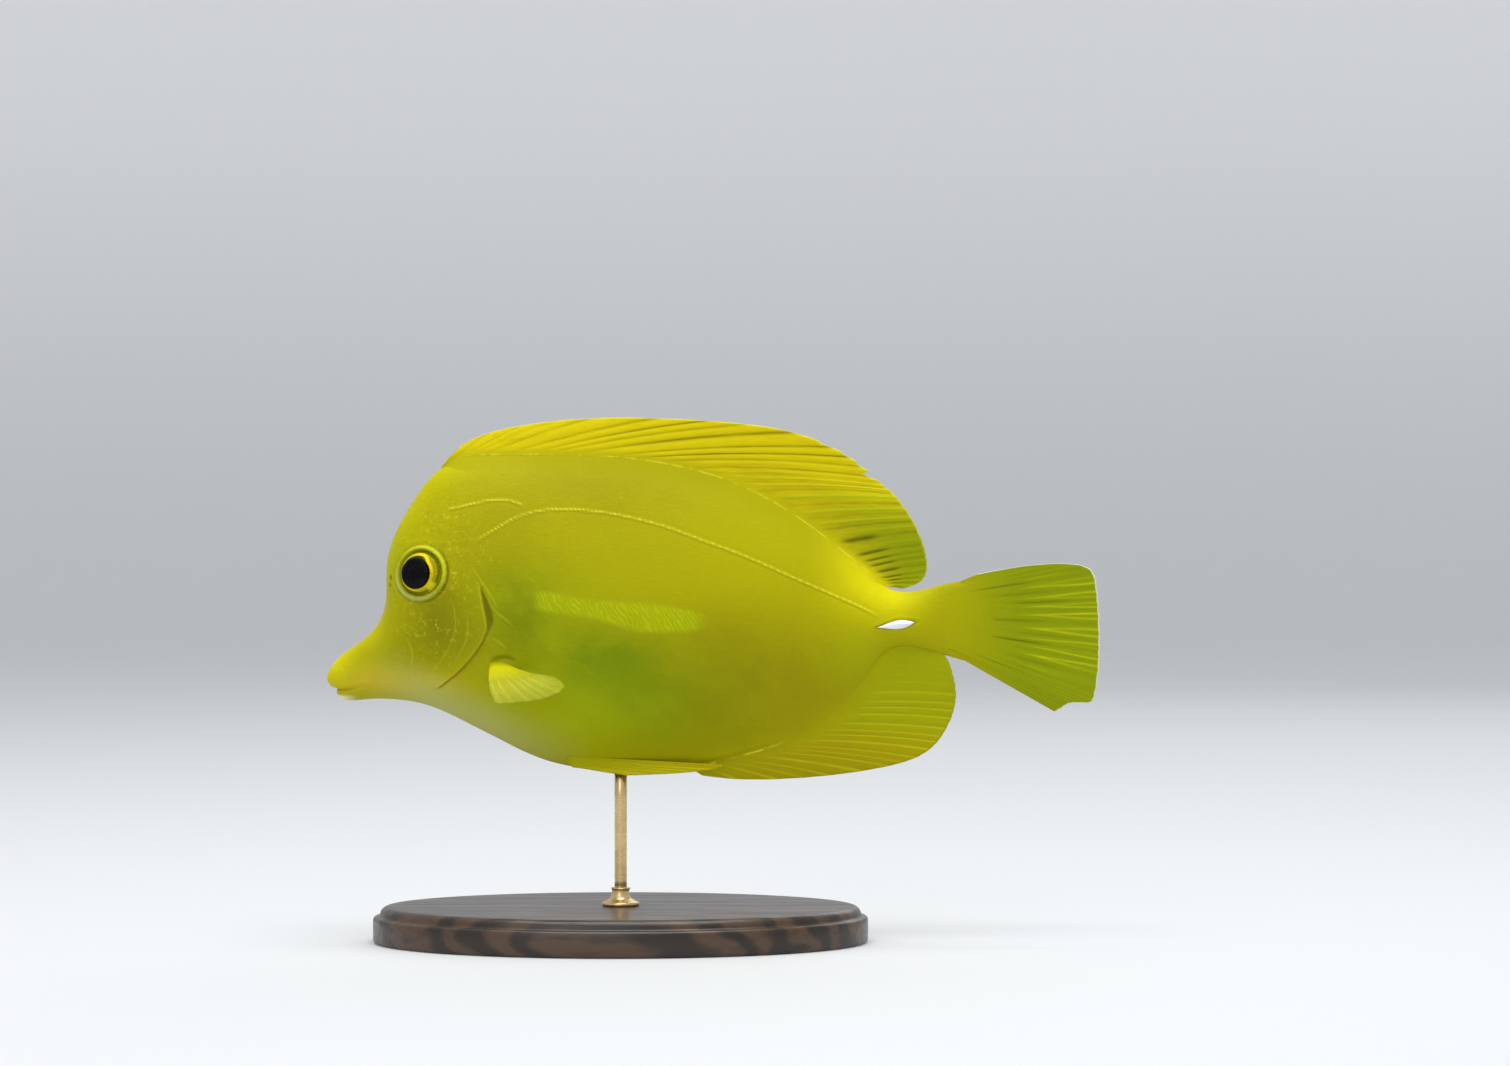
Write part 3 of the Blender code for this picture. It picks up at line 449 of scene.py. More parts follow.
class FinPaint(NamedTuple):
    """A fin's colours on lit folds, at the rear, in valleys as painted shade, on bright lines, at the margin
    and in dashes.

    The margin's colour has a strength, and the flesh's colour fades out over root_width millimetres.
    """

    crest: tuple
    rear: tuple
    valley: tuple
    line: tuple
    edge: tuple
    edge_strength: float
    root_width: float
    dash: tuple = None


FIN_PAINT = {
    "dorsal": FinPaint(
        (0.70, 0.58, 0.003), (0.27, 0.33, 0.002), (0.23, 0.165, 0.002), (0.42, 0.47, 0.004),
        (0.66, 0.66, 0.12), 0.6, 2.4, dash=(0.07, 0.10, 0.002),
    ),
    "anal": FinPaint(
        (0.37, 0.31, 0.002), (0.34, 0.36, 0.002), (0.26, 0.23, 0.002), (0.52, 0.50, 0.004),
        (0.40, 0.38, 0.01), 0.3, 5.0,
    ),
    "tail": FinPaint(
        TAIL_ROOT, TAIL_WEB, (0.17, 0.21, 0.002), (0.50, 0.54, 0.005),
        (0.88, 0.92, 0.70), 0.8, 1.0, dash=(0.10, 0.12, 0.001),
    ),
    "pectoral": FinPaint(
        (0.64, 0.60, 0.006), (0.56, 0.57, 0.06), (0.52, 0.52, 0.03), (0.62, 0.61, 0.09),
        (0.60, 0.61, 0.14), 0.4, 2.6,
    ),
    "pelvic": FinPaint(
        (0.47, 0.42, 0.003), (0.47, 0.42, 0.003), (0.34, 0.30, 0.003), (0.66, 0.58, 0.01),
        (0.60, 0.54, 0.02), 0.3, 18.0,
    ),
}


def smooth_curve(control, t):
    """Points on a uniform cubic B-spline; t runs from 0 to 1 from the first control point to the last."""
    control = np.asarray(control, float)
    ends = np.vstack([2 * control[0] - control[1], control, 2 * control[-1] - control[-2]])
    along = np.asarray(t, float) * (len(control) - 1)
    first = np.clip(along.astype(int), 0, len(control) - 2)
    f = (along - first)[:, None]
    weights = (
        (1 - f) ** 3,
        3 * f**3 - 6 * f**2 + 4,
        -3 * f**3 + 3 * f**2 + 3 * f + 1,
        f**3,
    )
    return sum(w * ends[first + k] for k, w in enumerate(weights)) / 6


def rise(value, low, high):
    """0 below low, 1 above high and a smooth rise between."""
    t = np.clip((value - low) / (high - low), 0, 1)
    return t * t * (3 - 2 * t)


def fall(value, low, high):
    """1 below low, 0 above high and a smooth fall between."""
    return 1 - rise(value, low, high)


def hill(distance, width):
    """A rounded bump of height 1, as a function of the distance from its middle."""
    return np.exp(-((distance / width) ** 2))


def blob(x, z, centre_x, centre_z, radius_x, radius_z):
    """A soft oval patch in the side view."""
    return np.exp(-(((x - centre_x) / radius_x) ** 2) - ((z - centre_z) / radius_z) ** 2)


def along_line(x, z, line, count=100, reach=12.0):
    """For each point: distance from a line, its side (positive to the left), and the place along it.

    Points further than reach from the line's box count as far away on its right.
    """
    line = smooth_curve(line, np.linspace(0, 1, count))[:, :2]
    low, high = line.min(axis=0) - reach, line.max(axis=0) + reach
    near = (x > low[0]) & (x < high[0]) & (z > low[1]) & (z < high[1])
    points = np.column_stack([x[near], z[near]])
    best = np.full(len(points), FAR)
    side = np.full(len(points), -1.0)
    place = np.zeros(len(points))
    for i in range(count - 1):
        a, step = line[i], line[i + 1] - line[i]
        rel = points - a
        t = np.clip(rel @ step / (step @ step), 0, 1)
        away = rel - t[:, None] * step
        distance = np.hypot(away[:, 0], away[:, 1])
        closer = distance < best
        best[closer] = distance[closer]
        side[closer] = np.sign(step[0] * rel[closer, 1] - step[1] * rel[closer, 0])
        place[closer] = (i + t[closer]) / (count - 1)
    fields = []
    for values, default in ((best, FAR), (side, -1.0), (place, 0.0)):
        field = np.full(x.shape, default)
        field[near] = values
        fields.append(field)
    return fields


def placed(points):
    """Points from millimetres in the fish's axes to metres in the model's."""
    return (np.asarray(points, float).reshape(-1, 3) + (SNOUT_X, 0, AXIS_HEIGHT)) * MM


def mesh_object(name, points, faces, look, attributes=None):
    """A smooth mesh from points in metres, with numbers for its material to read."""
    mesh = bpy.data.meshes.new(name)
    mesh.from_pydata(np.asarray(points).tolist(), [], faces)
    mesh.validate()
    for key, values in (attributes or {}).items():
        layer = mesh.attributes.new(key, "FLOAT", "POINT")
        layer.data.foreach_set("value", np.asarray(values, np.float32).ravel())
    bm = bmesh.new()
    bm.from_mesh(mesh)
    bmesh.ops.recalc_face_normals(bm, faces=bm.faces)
    bm.to_mesh(mesh)
    bm.free()
    mesh.shade_smooth()
    mesh.materials.append(look)
    obj = bpy.data.objects.new(name, mesh)
    bpy.context.scene.collection.objects.link(obj)
    return obj


def tube_faces(rows, around):
    """Quads of a closed tube of rows of points."""
    r, s = np.meshgrid(np.arange(rows - 1), np.arange(around), indexing="ij")
    nxt = (s + 1) % around
    low, high = r * around, (r + 1) * around
    return np.stack([low + s, high + s, high + nxt, low + nxt], axis=-1).reshape(-1, 4).tolist()


def closed_tube(rows, around):
    """The faces of a tube and of the flat ends that close it."""
    last = rows * around - 1
    return tube_faces(rows, around) + [tuple(range(around)), tuple(last - k for k in range(around))]


def oval_rings(profile, segments):
    """Rings of points from half length, half width and height at each level."""
    turn = np.linspace(0, 2 * math.pi, segments, endpoint=False)
    rings = np.array(profile)[:, None] * np.column_stack([np.cos(turn), np.sin(turn), np.ones(segments)])
    return rings.reshape(-1, 3)


def section_levels(count):
    """Levels from back to belly, evenly spaced along the outline of a typical section."""
    fine = np.cos(np.linspace(0, math.pi, 4000))
    width = 0.3 * (1 - np.abs(fine) ** SIDE_FLATNESS) ** 0.66
    length = np.concatenate([[0], np.cumsum(np.hypot(np.diff(fine), np.diff(width)))])
    return np.interp(np.linspace(0, length[-1], count), length, fine)


def rib_places():
    """Where along the table of ribs the rings lie, closer together on the head."""
    fine = np.linspace(0, 1, 4000)
    ribs = smooth_curve(RIBS, fine)
    middle = (ribs[:, 0:2] + ribs[:, 2:4]) / 2
    steps = [np.hypot(*np.diff(line, axis=0).T) for line in (ribs[:, 0:2], ribs[:, 2:4], middle)]
    spacing = np.where(middle[1:, 0] < HEAD_ENDS_AT, HEAD_SPACING, BODY_SPACING)
    rings = np.concatenate([[0], np.cumsum(np.max(steps, axis=0) / spacing)])
    return np.interp(np.linspace(0, rings[-1], int(rings[-1]) + 1), rings, fine)


def flesh_rings(places, levels):
    """Rings of points round the body: down the left side and up the right."""
    up = np.concatenate([levels, levels[-2:0:-1]])
    side = np.concatenate([-np.ones(len(levels)), np.ones(len(levels) - 2)])
    out = np.maximum(1 - np.abs(up) ** SIDE_FLATNESS, 0)
    rings = []
    for back_x, back_z, belly_x, belly_z, half_width, sharpness in smooth_curve(RIBS, places):
        middle = np.array([(back_x + belly_x) / 2, (back_z + belly_z) / 2])
        half = np.array([(back_x - belly_x) / 2, (back_z - belly_z) / 2])
        plane = middle + up[:, None] * half
        rings.append(np.column_stack([plane[:, 0], side * half_width * out**sharpness, plane[:, 1]]))
    return np.array(rings)


def ring_normals(rings):
    """Outward unit normals at the points of the rings."""
    normal = np.cross(np.roll(rings, -1, axis=1) - np.roll(rings, 1, axis=1), np.gradient(rings, axis=0))
    size = np.linalg.norm(normal, axis=2, keepdims=True)
    normal = normal / np.where(size == 0, 1, size)
    outward = rings - rings.mean(axis=1, keepdims=True)
    sign = np.sign((normal * outward).sum(axis=2, keepdims=True))
    return normal * np.where(sign == 0, 1, sign)


def skin_surface():
    """The plain body, for placing things on it."""
    rings = flesh_rings(np.linspace(0, 1, 260), section_levels(130))
    rows, around, _ = rings.shape
    points = [Vector(p) for p in rings.reshape(-1, 3)]
    return BVHTree.FromPolygons(points, tube_faces(rows, around))


def skin_place(x, z, side):
    """The point of the skin at x and z on one side, and the direction out of it."""
    hit, normal, _, _ = SURFACE.ray_cast(Vector((x, side * 60.0, z)), Vector((0, -side, 0)))
    normal = np.array(normal)
    return np.array(hit), normal * np.sign(normal[1] * side)


def eye_frame(side):
    """The place where an eye's axis leaves the skin, that axis, and the way that its pupil looks."""
    hit, out = skin_place(*EYE_CENTRE, side)
    gaze = out + np.array([-EYE_LEANS_FORWARD, 0.0, -EYE_LEANS_DOWN])
    return hit, out, gaze / np.linalg.norm(gaze)


def from_axis(points, start, direction):
    """Distance of points from a line in space."""
    rel = points - start
    return np.linalg.norm(rel - (rel @ direction)[..., None] * direction, axis=-1)


def turned_to(turn, side):
    """1 at a side of a round thing, and 0 from a quarter turn away."""
    return np.clip(np.cos(turn - side), 0, 1)


def mark_most(marks, key, field):
    """Raises a mark to the field wherever the field is higher."""
    marks[key] = np.maximum(marks.get(key, 0.0), field)


def head_relief(x, z, marks):
    """Height of the relief on the head: gill opening, cheek, mouth, lips and folds."""
    distance, side, place = along_line(x, z, GILL_LINE)
    behind = distance * side
    ends = rise(place, 0.0, 0.10) * fall(place, 0.95, 1.0)
    gape = GAPE_NARROW + GAPE_WIDENS_BY * rise(place, 0.02, 0.32) * fall(place, 0.36, 0.56)
    height = GILL_FLAP_HEIGHT * np.exp(np.minimum(behind, 0) / GILL_FLAP_REACH) * (behind <= 0) * ends
    pocket = rise(behind, -0.10, 0.12) * fall(behind, 0.55 * gape, gape) * ends
    height -= (0.16 + 0.26 * gape) * pocket
    upper = fall(place, 0.42, 0.58)
    mark_most(marks, "shade", 0.8 * pocket * upper)
    # Painted shade in the crease of the gill opening.
    mark_most(marks, "crease_shade", 0.7 * hill(behind - 0.1, 0.24) * ends * (1 - 0.7 * upper))
    lip = hill(behind + 0.30, 0.16) * ends
    for line in COLLAR_LINES + CHEEK_LINES:
        distance, _, place = along_line(x, z, line, 60)
        fold = hill(distance, FOLD_WIDTH) * np.sin(math.pi * np.clip(place, 0, 1))
        height += FOLD_HEIGHT * fold - 0.08 * hill(distance - 0.4, 0.22)
        lip = np.maximum(lip, 0.8 * fold)
    marks["fold"] = lip
    distance, _, place = along_line(x, z, MOUTH_LINE)
    cleft = hill(distance, MOUTH_WIDTH) * fall(place, 0.25, 1.0)
    height += 0.12 * hill(distance - 0.7, 0.5) - MOUTH_DEPTH * cleft
    # Painted shade in the mouth's cleft.
    mark_most(marks, "crease_shade", 0.6 * cleft)
    distance, _, place = along_line(x, z, LIP_LINE)
    height -= LIP_DEPTH * hill(distance, LIP_WIDTH) * fall(place, 0.5, 1.0)
    distance, _, place = along_line(x, z, PECTORAL_ARCH)
    arch = hill(distance, PECTORAL_ARCH_WIDTH) * rise(place, 0.0, 0.25) * fall(place, 0.7, 1.0)
    height += PECTORAL_PAD_HEIGHT * blob(x, z, *PECTORAL_PAD) - PECTORAL_ARCH_DEPTH * arch
    mark_most(marks, "shade", 0.5 * arch)
    return height


def body_relief(x, z, marks):
    """Height of the relief on the flanks: the sensory canals and the groove of the tail's spine."""
    height = np.zeros_like(x)
    for line, high, bead_count in CANALS:
        distance, side, place = along_line(x, z, line, 240)
        ends = rise(place, 0.0, 0.04) * fall(place, 0.94, 1.0)
        beads = 0.62 + 0.38 * np.cos(2 * math.pi * bead_count * place)
        ridge = hill(distance, CANAL_WIDTH) * ends
        height += high * ridge * beads - 0.05 * hill(distance - 0.45, 0.25) * ends
        mark_most(marks, "canal", ridge * beads)
        mark_most(marks, "shade", 0.30 * hill(distance * -side - 0.4, 0.22) * ends)
    distance, _, place = along_line(x, z, (SPINE_TIP, SPINE_HINGE), 40)
    inside = SPINE_HALF_DEPTH * np.sin(math.pi * (0.08 + 0.84 * place) ** 1.35) ** 0.85 + 0.05
    dip = fall(distance, inside - 0.25, inside + 0.12)
    height += 0.12 * hill(distance - inside - 0.4, 0.35) - SPINE_GROOVE_DEPTH * dip
    return height


def eye_relief(rings, marks):
    """Height of the relief round the eyes and nostrils."""
    height = np.zeros(rings.shape[:2])
    for side, _ in SIDES:
        same = rings[:, :, 1] * side > 0
        hit, out, _ = eye_frame(side)
        r = from_axis(rings, hit, out)
        near = same & (r < EYE_REACH)
        ring = RIM_HEIGHT * rise(r, *RIM_RISES) * fall(r, *RIM_FALLS) + 0.10 * hill(r - 6.3, 0.5)
        height += np.where(near, ring - SOCKET_DEPTH * fall(r, *SOCKET_EDGE), 0)
        rel = rings - hit
        turn = np.arctan2(rel[:, :, 2], rel[:, :, 0])
        on_rim = rise(r, *RIM_TINT_RISES) * fall(r, *RIM_TINT_FALLS)
        # A painted highlight on the lit side of the rim's crest, a painted pale reflection low at its back,
        # and painted shade along its foot, darker on one side.
        lit = hill(r - RIM_CREST, 0.32) * (0.35 + 0.65 * turned_to(turn, RIM_LIT_SIDE))
        pale = hill(r - RIM_CREST, 0.5) * turned_to(turn, RIM_SHEEN_SIDE)
        outline = hill(r - RIM_OUTLINE, 0.16) * (0.3 + 0.7 * turned_to(turn, RIM_SHADED_SIDE))
        for key, field in (("rim", on_rim), ("gleam", lit), ("wet", pale), ("recess_shade", 0.75 * outline)):
            mark_most(marks, key, np.where(near, field, 0))
        # Black painted shade in the gap round the eyeball.
        mark_most(marks, "recess_shade", np.where(near, fall(r, 4.0, 4.3), 0))
        for x, z, radius in NOSTRILS:
            hit, out = skin_place(x, z, side)
            r = from_axis(rings, hit, out)
            near = same & (r < 4)
            pit = fall(r, 0.55 * radius, 1.1 * radius)
            height += np.where(near, 0.12 * hill(r - 1.35 * radius, 0.2) - NOSTRIL_DEPTH * pit, 0)
            # Black painted shade in the nostril pit.
            mark_most(marks, "recess_shade", np.where(near, 0.8 * pit, 0))
    return height


def soft_ovals(x, z, ovals):
    """The sum of soft ovals, at most 1."""
    return np.clip(sum(share * blob(x, z, *oval) for *oval, share in ovals), 0, 1)


def flesh_marks(x, z):
    """Where the flesh is brighter, greener, browner, darker or more orange; the brighter top of the tail
    stalk is painted light from above, and the lit_below ovals are painted light from below.
    """
    # Painted light from above on the top of the tail stalk; the snout tip is brighter too.
    rear = rise(x, *TOP_LIT_REAR_X) * rise(z, *TOP_LIT_REAR_Z)
    snout = 0.4 * fall(x, *BRIGHT_SNOUT_X) * rise(z, *BRIGHT_SNOUT_Z)
    marks = {"bright": np.clip(rear + snout, 0, 1)}
    marks.update({key: soft_ovals(x, z, ovals) for key, ovals in PATCHES.items()})
    return marks


def colour_marks(x, z, back, belly, marks):
    """Where the skin has each colour, and where light or shade is painted on it. back and belly are
    distances from the outline.
    """
    marks.update(flesh_marks(x, z))
    marks["lit"] = 0.25 * fall(back, *LIT_NAPE_IN) * fall(x, *LIT_NAPE_X)
    front = fall(x, *THROAT_ENDS_X)
    # A pale throat, painted paler towards the belly edge as light from below, and a thin rim of painted
    # light along the keel.
    marks["throat"] = fall(belly, *THROAT_IN) * front * rise(x, *THROAT_BEGINS_X)
    mark_most(marks, "throat", 0.9 * fall(belly, *KEEL_RIM_LIGHT_IN) * front)
    marks["lip"] = fall(x, *LIP_X) * fall(z, *LIP_Z)
    band = smooth_curve(PALE_BAND, np.linspace(0, 1, 200))
    level = np.interp(x, band[:, 0], band[:, 1])
    half = np.interp(x, band[:, 0], band[:, 2])
    ends = rise(x, *BAND_BEGINS_X) * fall(x, *BAND_ENDS_X)
    marks["band"] = fall(np.abs(z - level), half - BAND_EDGE, half + BAND_EDGE) * ends
    marks["head"] = soft_ovals(x, z, WRINKLED)
    marks["tail"] = rise(x, *TAIL_STALK_X)
    marks["web"] = rise(x, *TAIL_ROOT_X)


def make_skin(look):
    """One skin over head, gill covers, lips, trunk and tail stalk."""
    rings = flesh_rings(rib_places(), section_levels(SIDE_POINTS))
    normals = ring_normals(rings)
    rows, around, _ = rings.shape
    x, z = rings[:, :, 0], rings[:, :, 2]
    marks = {}
    height = head_relief(x, z, marks) + body_relief(x, z, marks) + eye_relief(rings, marks)
    back = np.linalg.norm(rings - rings[:, :1], axis=2)
    belly = np.linalg.norm(rings - rings[:, SIDE_POINTS - 1 : SIDE_POINTS], axis=2)
    colour_marks(x, z, back, belly, marks)
    sideways = np.abs(normals[:, :, 1])
    height = np.where(x > 9, height * rise(sideways, 0.1, 0.5), height)
    points = (rings + normals * height[:, :, None]).reshape(-1, 3)
    caps = [rings[0].mean(axis=0) - (0.15, 0, 0), rings[-1].mean(axis=0) + (0.2, 0, 0)]
    faces = tube_faces(rows, around)
    for row, end in ((0, len(points)), (rows - 1, len(points) + 1)):
        faces += [(row * around + s, row * around + (s + 1) % around, end) for s in range(around)]
    values = {
        key: np.append(field.ravel(), [field[0].mean(), field[-1].mean()]) for key, field in marks.items()
    }
    skin = mesh_object("skin", placed(np.vstack([points, caps])), faces, look, values)
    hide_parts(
        "head", "upper_lip", "lower_jaw", "gill_cover_left", "gill_cover_right", "trunk", "tail_stalk"
    )
    return skin


def varied(index, low):
    """A number from low to 1 that differs from ray to ray."""
    return low + (1 - low) * (0.5 + 0.5 * np.sin(2.3 * index + 1.0) * np.cos(0.9 * index))


def between_rays(offset, width):
    """A line in the middle of each gap between rays."""
    return hill(np.abs(offset) - 0.5, width)


def arched(offset):
    """A membrane's rounded swelling from gap to gap."""
    return 1 - (2 * offset) ** 2


def dorsal_folds(x, root_x, offset, gap, share):
    """Golden bands with thin lines of painted shade between, then fine bright lines, then short dashes of
    painted shadow between the rays.
    """
    middle = fall(root_x, *DORSAL_GOLD_ENDS)
    rear = rise(root_x, *DORSAL_LINES_BEGIN)
    green = rise(root_x, *DORSAL_GREEN_BEGINS)
    strength = varied(gap, 0.5) * (0.30 + 0.70 * rise(x, *DORSAL_VALLEYS_DEEPEN))
    # Painted shade in the valleys between the rays.
    dark = between_rays(offset, VALLEY_WIDTH) * strength * (middle + 0.65 * rear)
    dark = np.maximum(dark, 0.30 * rise(root_x, *DORSAL_SHADE_BEGINS) * fall(share, 0.35, 0.9))
    folds = arched(offset) * (0.8 * middle * (0.3 + 0.7 * rise(x, *DORSAL_FOLDS_RISE)) + 0.3 * rear)
    # Painted shadow of the membrane between the rays at the back.
    last = rise(root_x, *DORSAL_DASHES_BEGIN) * fall(root_x, *DORSAL_DASHES_END)
    dash = last * between_rays(offset, DORSAL_DASH_WIDTH) * rise(share, 0.06, 0.25) * fall(share, 0.42, 0.6)
    line = rear * hill(offset, DORSAL_LINE_WIDTH) * (1 - 0.75 * last) * rise(share, 0.03, 0.25)
    rising = rise(share, 0.0, 0.12)
    tone = green * (0.45 + 0.55 * rise(share, 0.1, 0.7))
    return (folds + 0.5 * line - dash) * rising, dark * rising, line, dash, tone


def anal_folds(root_x, offset, gap, share):
    """Thin bright lines that fade out towards the tail."""
    smooth_end = fall(root_x, *ANAL_LINES_END)
    rising = rise(share, 0.08, 0.35)
    line = hill(offset, ANAL_LINE_WIDTH) * varied(gap, 0.45) * smooth_end
    # Painted shade along one side of each ray.
    dark = hill(offset - 0.28, 0.16) * varied(gap, 0.3) * smooth_end * 0.45
    folds = 0.8 * line - 0.5 * dark + 0.25 * arched(offset)
    tone = rise(root_x, *ANAL_GREEN_BEGINS)
    return folds * rising, dark * rising, line * rising, np.zeros_like(line), tone


def tail_folds(x, z, offset, gap, share):
    """Smooth near the stalk, then dark streaks and bright ridges that spread to the margin."""
    inner = rise(z, *TAIL_INNER_FROM_Z) * fall(z, *TAIL_INNER_TO_Z)
    between = between_rays(offset, VALLEY_WIDTH)
    pick = varied(gap, 0.0) ** 2
    shifted = x + 4.0 * np.sin(1.9 * gap)
    dash = between * inner * pick * rise(shifted, *TAIL_DASHES_BEGIN) * fall(shifted, *TAIL_DASHES_END)
    spread = 0.20 * rise(share, 0.5, 0.95)
    thin = np.maximum(hill(offset - spread, TAIL_LINE_WIDTH), hill(offset + spread, TAIL_LINE_WIDTH))
    line = thin * inner * (1 - pick) * rise(x, *TAIL_LINES_BEGIN)
    # Painted shade in the valleys between the rays.
    dark = 0.25 * between * rise(x, *TAIL_VALLEYS_BEGIN)
    folds = (0.4 * arched(offset) + 0.5 * line) * rise(x, *TAIL_FOLDS_RISE) - 0.7 * dash
    return folds, dark, line, dash, rise(x, *TAIL_ROOT_X)


def paired_folds(offset, share):
    """Soft ridges along the rays of the paired fins."""
    ridge = hill(offset, 0.26) * rise(share, 0.05, 0.3)
    # Painted shade between the ridges.
    dark = 0.3 * (1 - ridge) * rise(share, 0.1, 0.4)
    return ridge, dark, 0.6 * hill(offset, 0.16) * rise(share, 0.2, 0.6)


def fin_marks(kind, middle, root, offset, gap, share):
    """Height of a fin's folds, and numbers for its material."""
    x, z, root_x = middle[:, :, 0], middle[:, :, 2], root[:, None, 0]
    if kind == "dorsal":
        fields = dorsal_folds(x, root_x, offset, gap, share)
    elif kind == "anal":
        fields = anal_folds(root_x, offset, gap, share)
    elif kind == "tail":
        fields = tail_folds(x, z, offset, gap, share)
    else:
        fold, dark, line = paired_folds(offset, share)
        fields = (fold, dark, line, np.zeros_like(line), rise(share, 0.15, 0.8))
    names = ("fold", "dark", "line", "dash", "tone")
    marks = {name: np.broadcast_to(field, x.shape) for name, field in zip(names, fields)}
    marks["seam"] = 0.0 * x
    if kind in SEAMS:
        start, end, strength = SEAMS[kind]
        marks["seam"] = strength * rise(x, start, start + 6) * fall(x, end - 6, end)
    return marks


def root_distance(points, root):
    """Distance of each point of the side view from the line of a fin's roots."""
    root = root[:: max(len(root) // 60, 1)]
    best = np.full(points.shape[:-1], FAR)
    for a, b in zip(root[:-1], root[1:]):
        step = b - a
        rel = points - a
        t = np.clip(rel @ step / (step @ step), 0, 1)
        best = np.minimum(best, np.linalg.norm(rel - t[..., None] * step, axis=-1))
    return best


def sheet_faces(columns, rows):
    """Quads of two like grids of points and of the wall that joins their borders."""
    c, r = np.meshgrid(np.arange(columns - 1), np.arange(rows - 1), indexing="ij")
    a = (c * rows + r).ravel()
    quads = np.stack([a, a + 1, a + rows + 1, a + rows], axis=1)
    border = list(range(rows))
    border += [k * rows + rows - 1 for k in range(1, columns)]
    border += [(columns - 1) * rows + k for k in range(rows - 2, -1, -1)]
    border += [k * rows for k in range(columns - 2, 0, -1)]
    ring = np.array(border)
    nxt = np.roll(ring, -1)
    flat = columns * rows
    walls = np.stack([ring, nxt, nxt + flat, ring + flat], axis=1)
    return quads.tolist() + (quads[:, ::-1] + flat).tolist() + walls.tolist()


def fin_sheet(form, rays, side):
    """The middle of a fin: a grid of points, its roots, and each column's and row's place."""
    along = np.linspace(0, 1, form.ray_count * form.steps_between_rays + 1)
    phase = along * form.ray_count - 0.5 + 0.18 * np.sin(1.7 * form.ray_count * along)
    gap = np.clip(np.floor(phase), 0, form.ray_count - 1)[:, None]
    offset = (phase - np.round(phase))[:, None]
    rays = smooth_curve(rays, along)
    root, reach = rays[:, :3], rays[:, 3:] - rays[:, :3]
    length = np.linalg.norm(reach, axis=1, keepdims=True)
    short = form.tip_step * np.minimum(np.abs(offset) * 2, 1) ** 1.5
    behind_ray = phase[:, None] - gap
    for torn_gap, depth in form.torn:
        tear = rise(behind_ray, 0.0, 0.22) * fall(behind_ray, 0.26, 1.0)
        short = short + depth * tear * (gap == torn_gap)
    reach = reach * (1 - short / length)
    spread = np.gradient(root + reach / 2, axis=0)
    across = np.cross(np.cross(reach, spread), reach)
    across *= form.bowing * length / np.linalg.norm(across, axis=1, keepdims=True)
    share = np.linspace(0, 1, form.steps_along_ray) ** 1.1
    middle = root[:, None, :] + reach[:, None, :] * share[None, :, None]
    middle = middle - across[:, None, :] * (4 * share * (1 - share))[None, :, None]
    middle[:, :, 1] += form.sway * np.sin(2 * math.pi * form.waves * along)[:, None] * share**2
    sink = np.array([form.sink[0], -side * form.sink[1], form.sink[2]])
    deep = np.linspace(1, 0, BURIED_ROWS, endpoint=False)[None, :, None]
    middle = np.concatenate([root[:, None, :] + sink * deep, middle], axis=1)
    share = np.concatenate([np.zeros(BURIED_ROWS), share])[None, :]
    return middle, root, length, along[:, None], phase[:, None], offset, gap, share


def blended(middle, away, half, width, side):
    """Half thickness of a fin that swells smoothly into the flesh and ends under the skin."""
    flesh = -SKIN_SLOPE * away
    for column, row in np.argwhere(away < 0):
        x, _, z = middle[column, row]
        hit = SURFACE.ray_cast(Vector((x, side * 60.0, z)), Vector((0, -side, 0)))[0]
        flesh[column, row] = abs(hit[1]) if hit else 0.0
    nearness = np.maximum(1 - np.abs(flesh - half) / width, 0)
    half = np.maximum(flesh, half) + nearness**2 * width / 4
    deep = away / away.min(axis=1, keepdims=True)
    under = 0.008 * rise(deep, 0.0, 0.3) + 0.6 * rise(deep, 0.8, 1.0)
    under += 0.25 * fall(width, 0.3, 1.2) * rise(deep, 0.0, 0.3)
    return half - np.where(away < 0, under, 0)


def make_fin(name, kind, rays, look, side=-1):
    """A fin with raised rays and a folded membrane, its root swelling into the skin."""
    form = FINS[kind]
    middle, root, length, along, phase, offset, gap, share = fin_sheet(form, rays, side)
    normal = np.cross(np.gradient(middle, axis=0), np.gradient(middle, axis=1))
    normal /= np.linalg.norm(normal, axis=2, keepdims=True)
    away = root_distance(middle, root)
    away[:, :BURIED_ROWS] *= -1
    values = fin_marks(kind, middle, root, offset, gap, share)
    edge = rise(np.minimum(along, 1 - along), 0.0, form.edge_share)
    rising = rise(away, 0.3, 2.2)
    half = form.half_thickness + form.fold_height * values["fold"] * rising * (1 - 0.35 * share)
    half += form.root_flare * np.exp(-np.maximum(away, 0) / form.flare_reach) * (0.1 + 0.9 * edge)
    half = np.maximum(half, 0.09) * (1 - 0.35 * rise(share, 0.97, 1.0))
    if form.blend:
        half = blended(middle, away, half, form.blend * (0.08 + 0.92 * edge), side)
    shift = normal * half[:, :, None]
    near, far = middle - shift, middle + shift
    values.update(flesh_marks(middle[:, :, 0], middle[:, :, 2]))
    values["ray"] = phase
    values["reach"] = share
    values["away"] = away
    values["margin"] = (1 - share) * length
    shape = near.shape[:2]
    values = {key: np.tile(np.broadcast_to(value, shape).ravel(), 2) for key, value in values.items()}
    points = np.vstack([near.reshape(-1, 3), far.reshape(-1, 3)])
    obj = mesh_object(f"{name}_rays", placed(points), sheet_faces(*shape), look, values)
    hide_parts(name)
    return obj


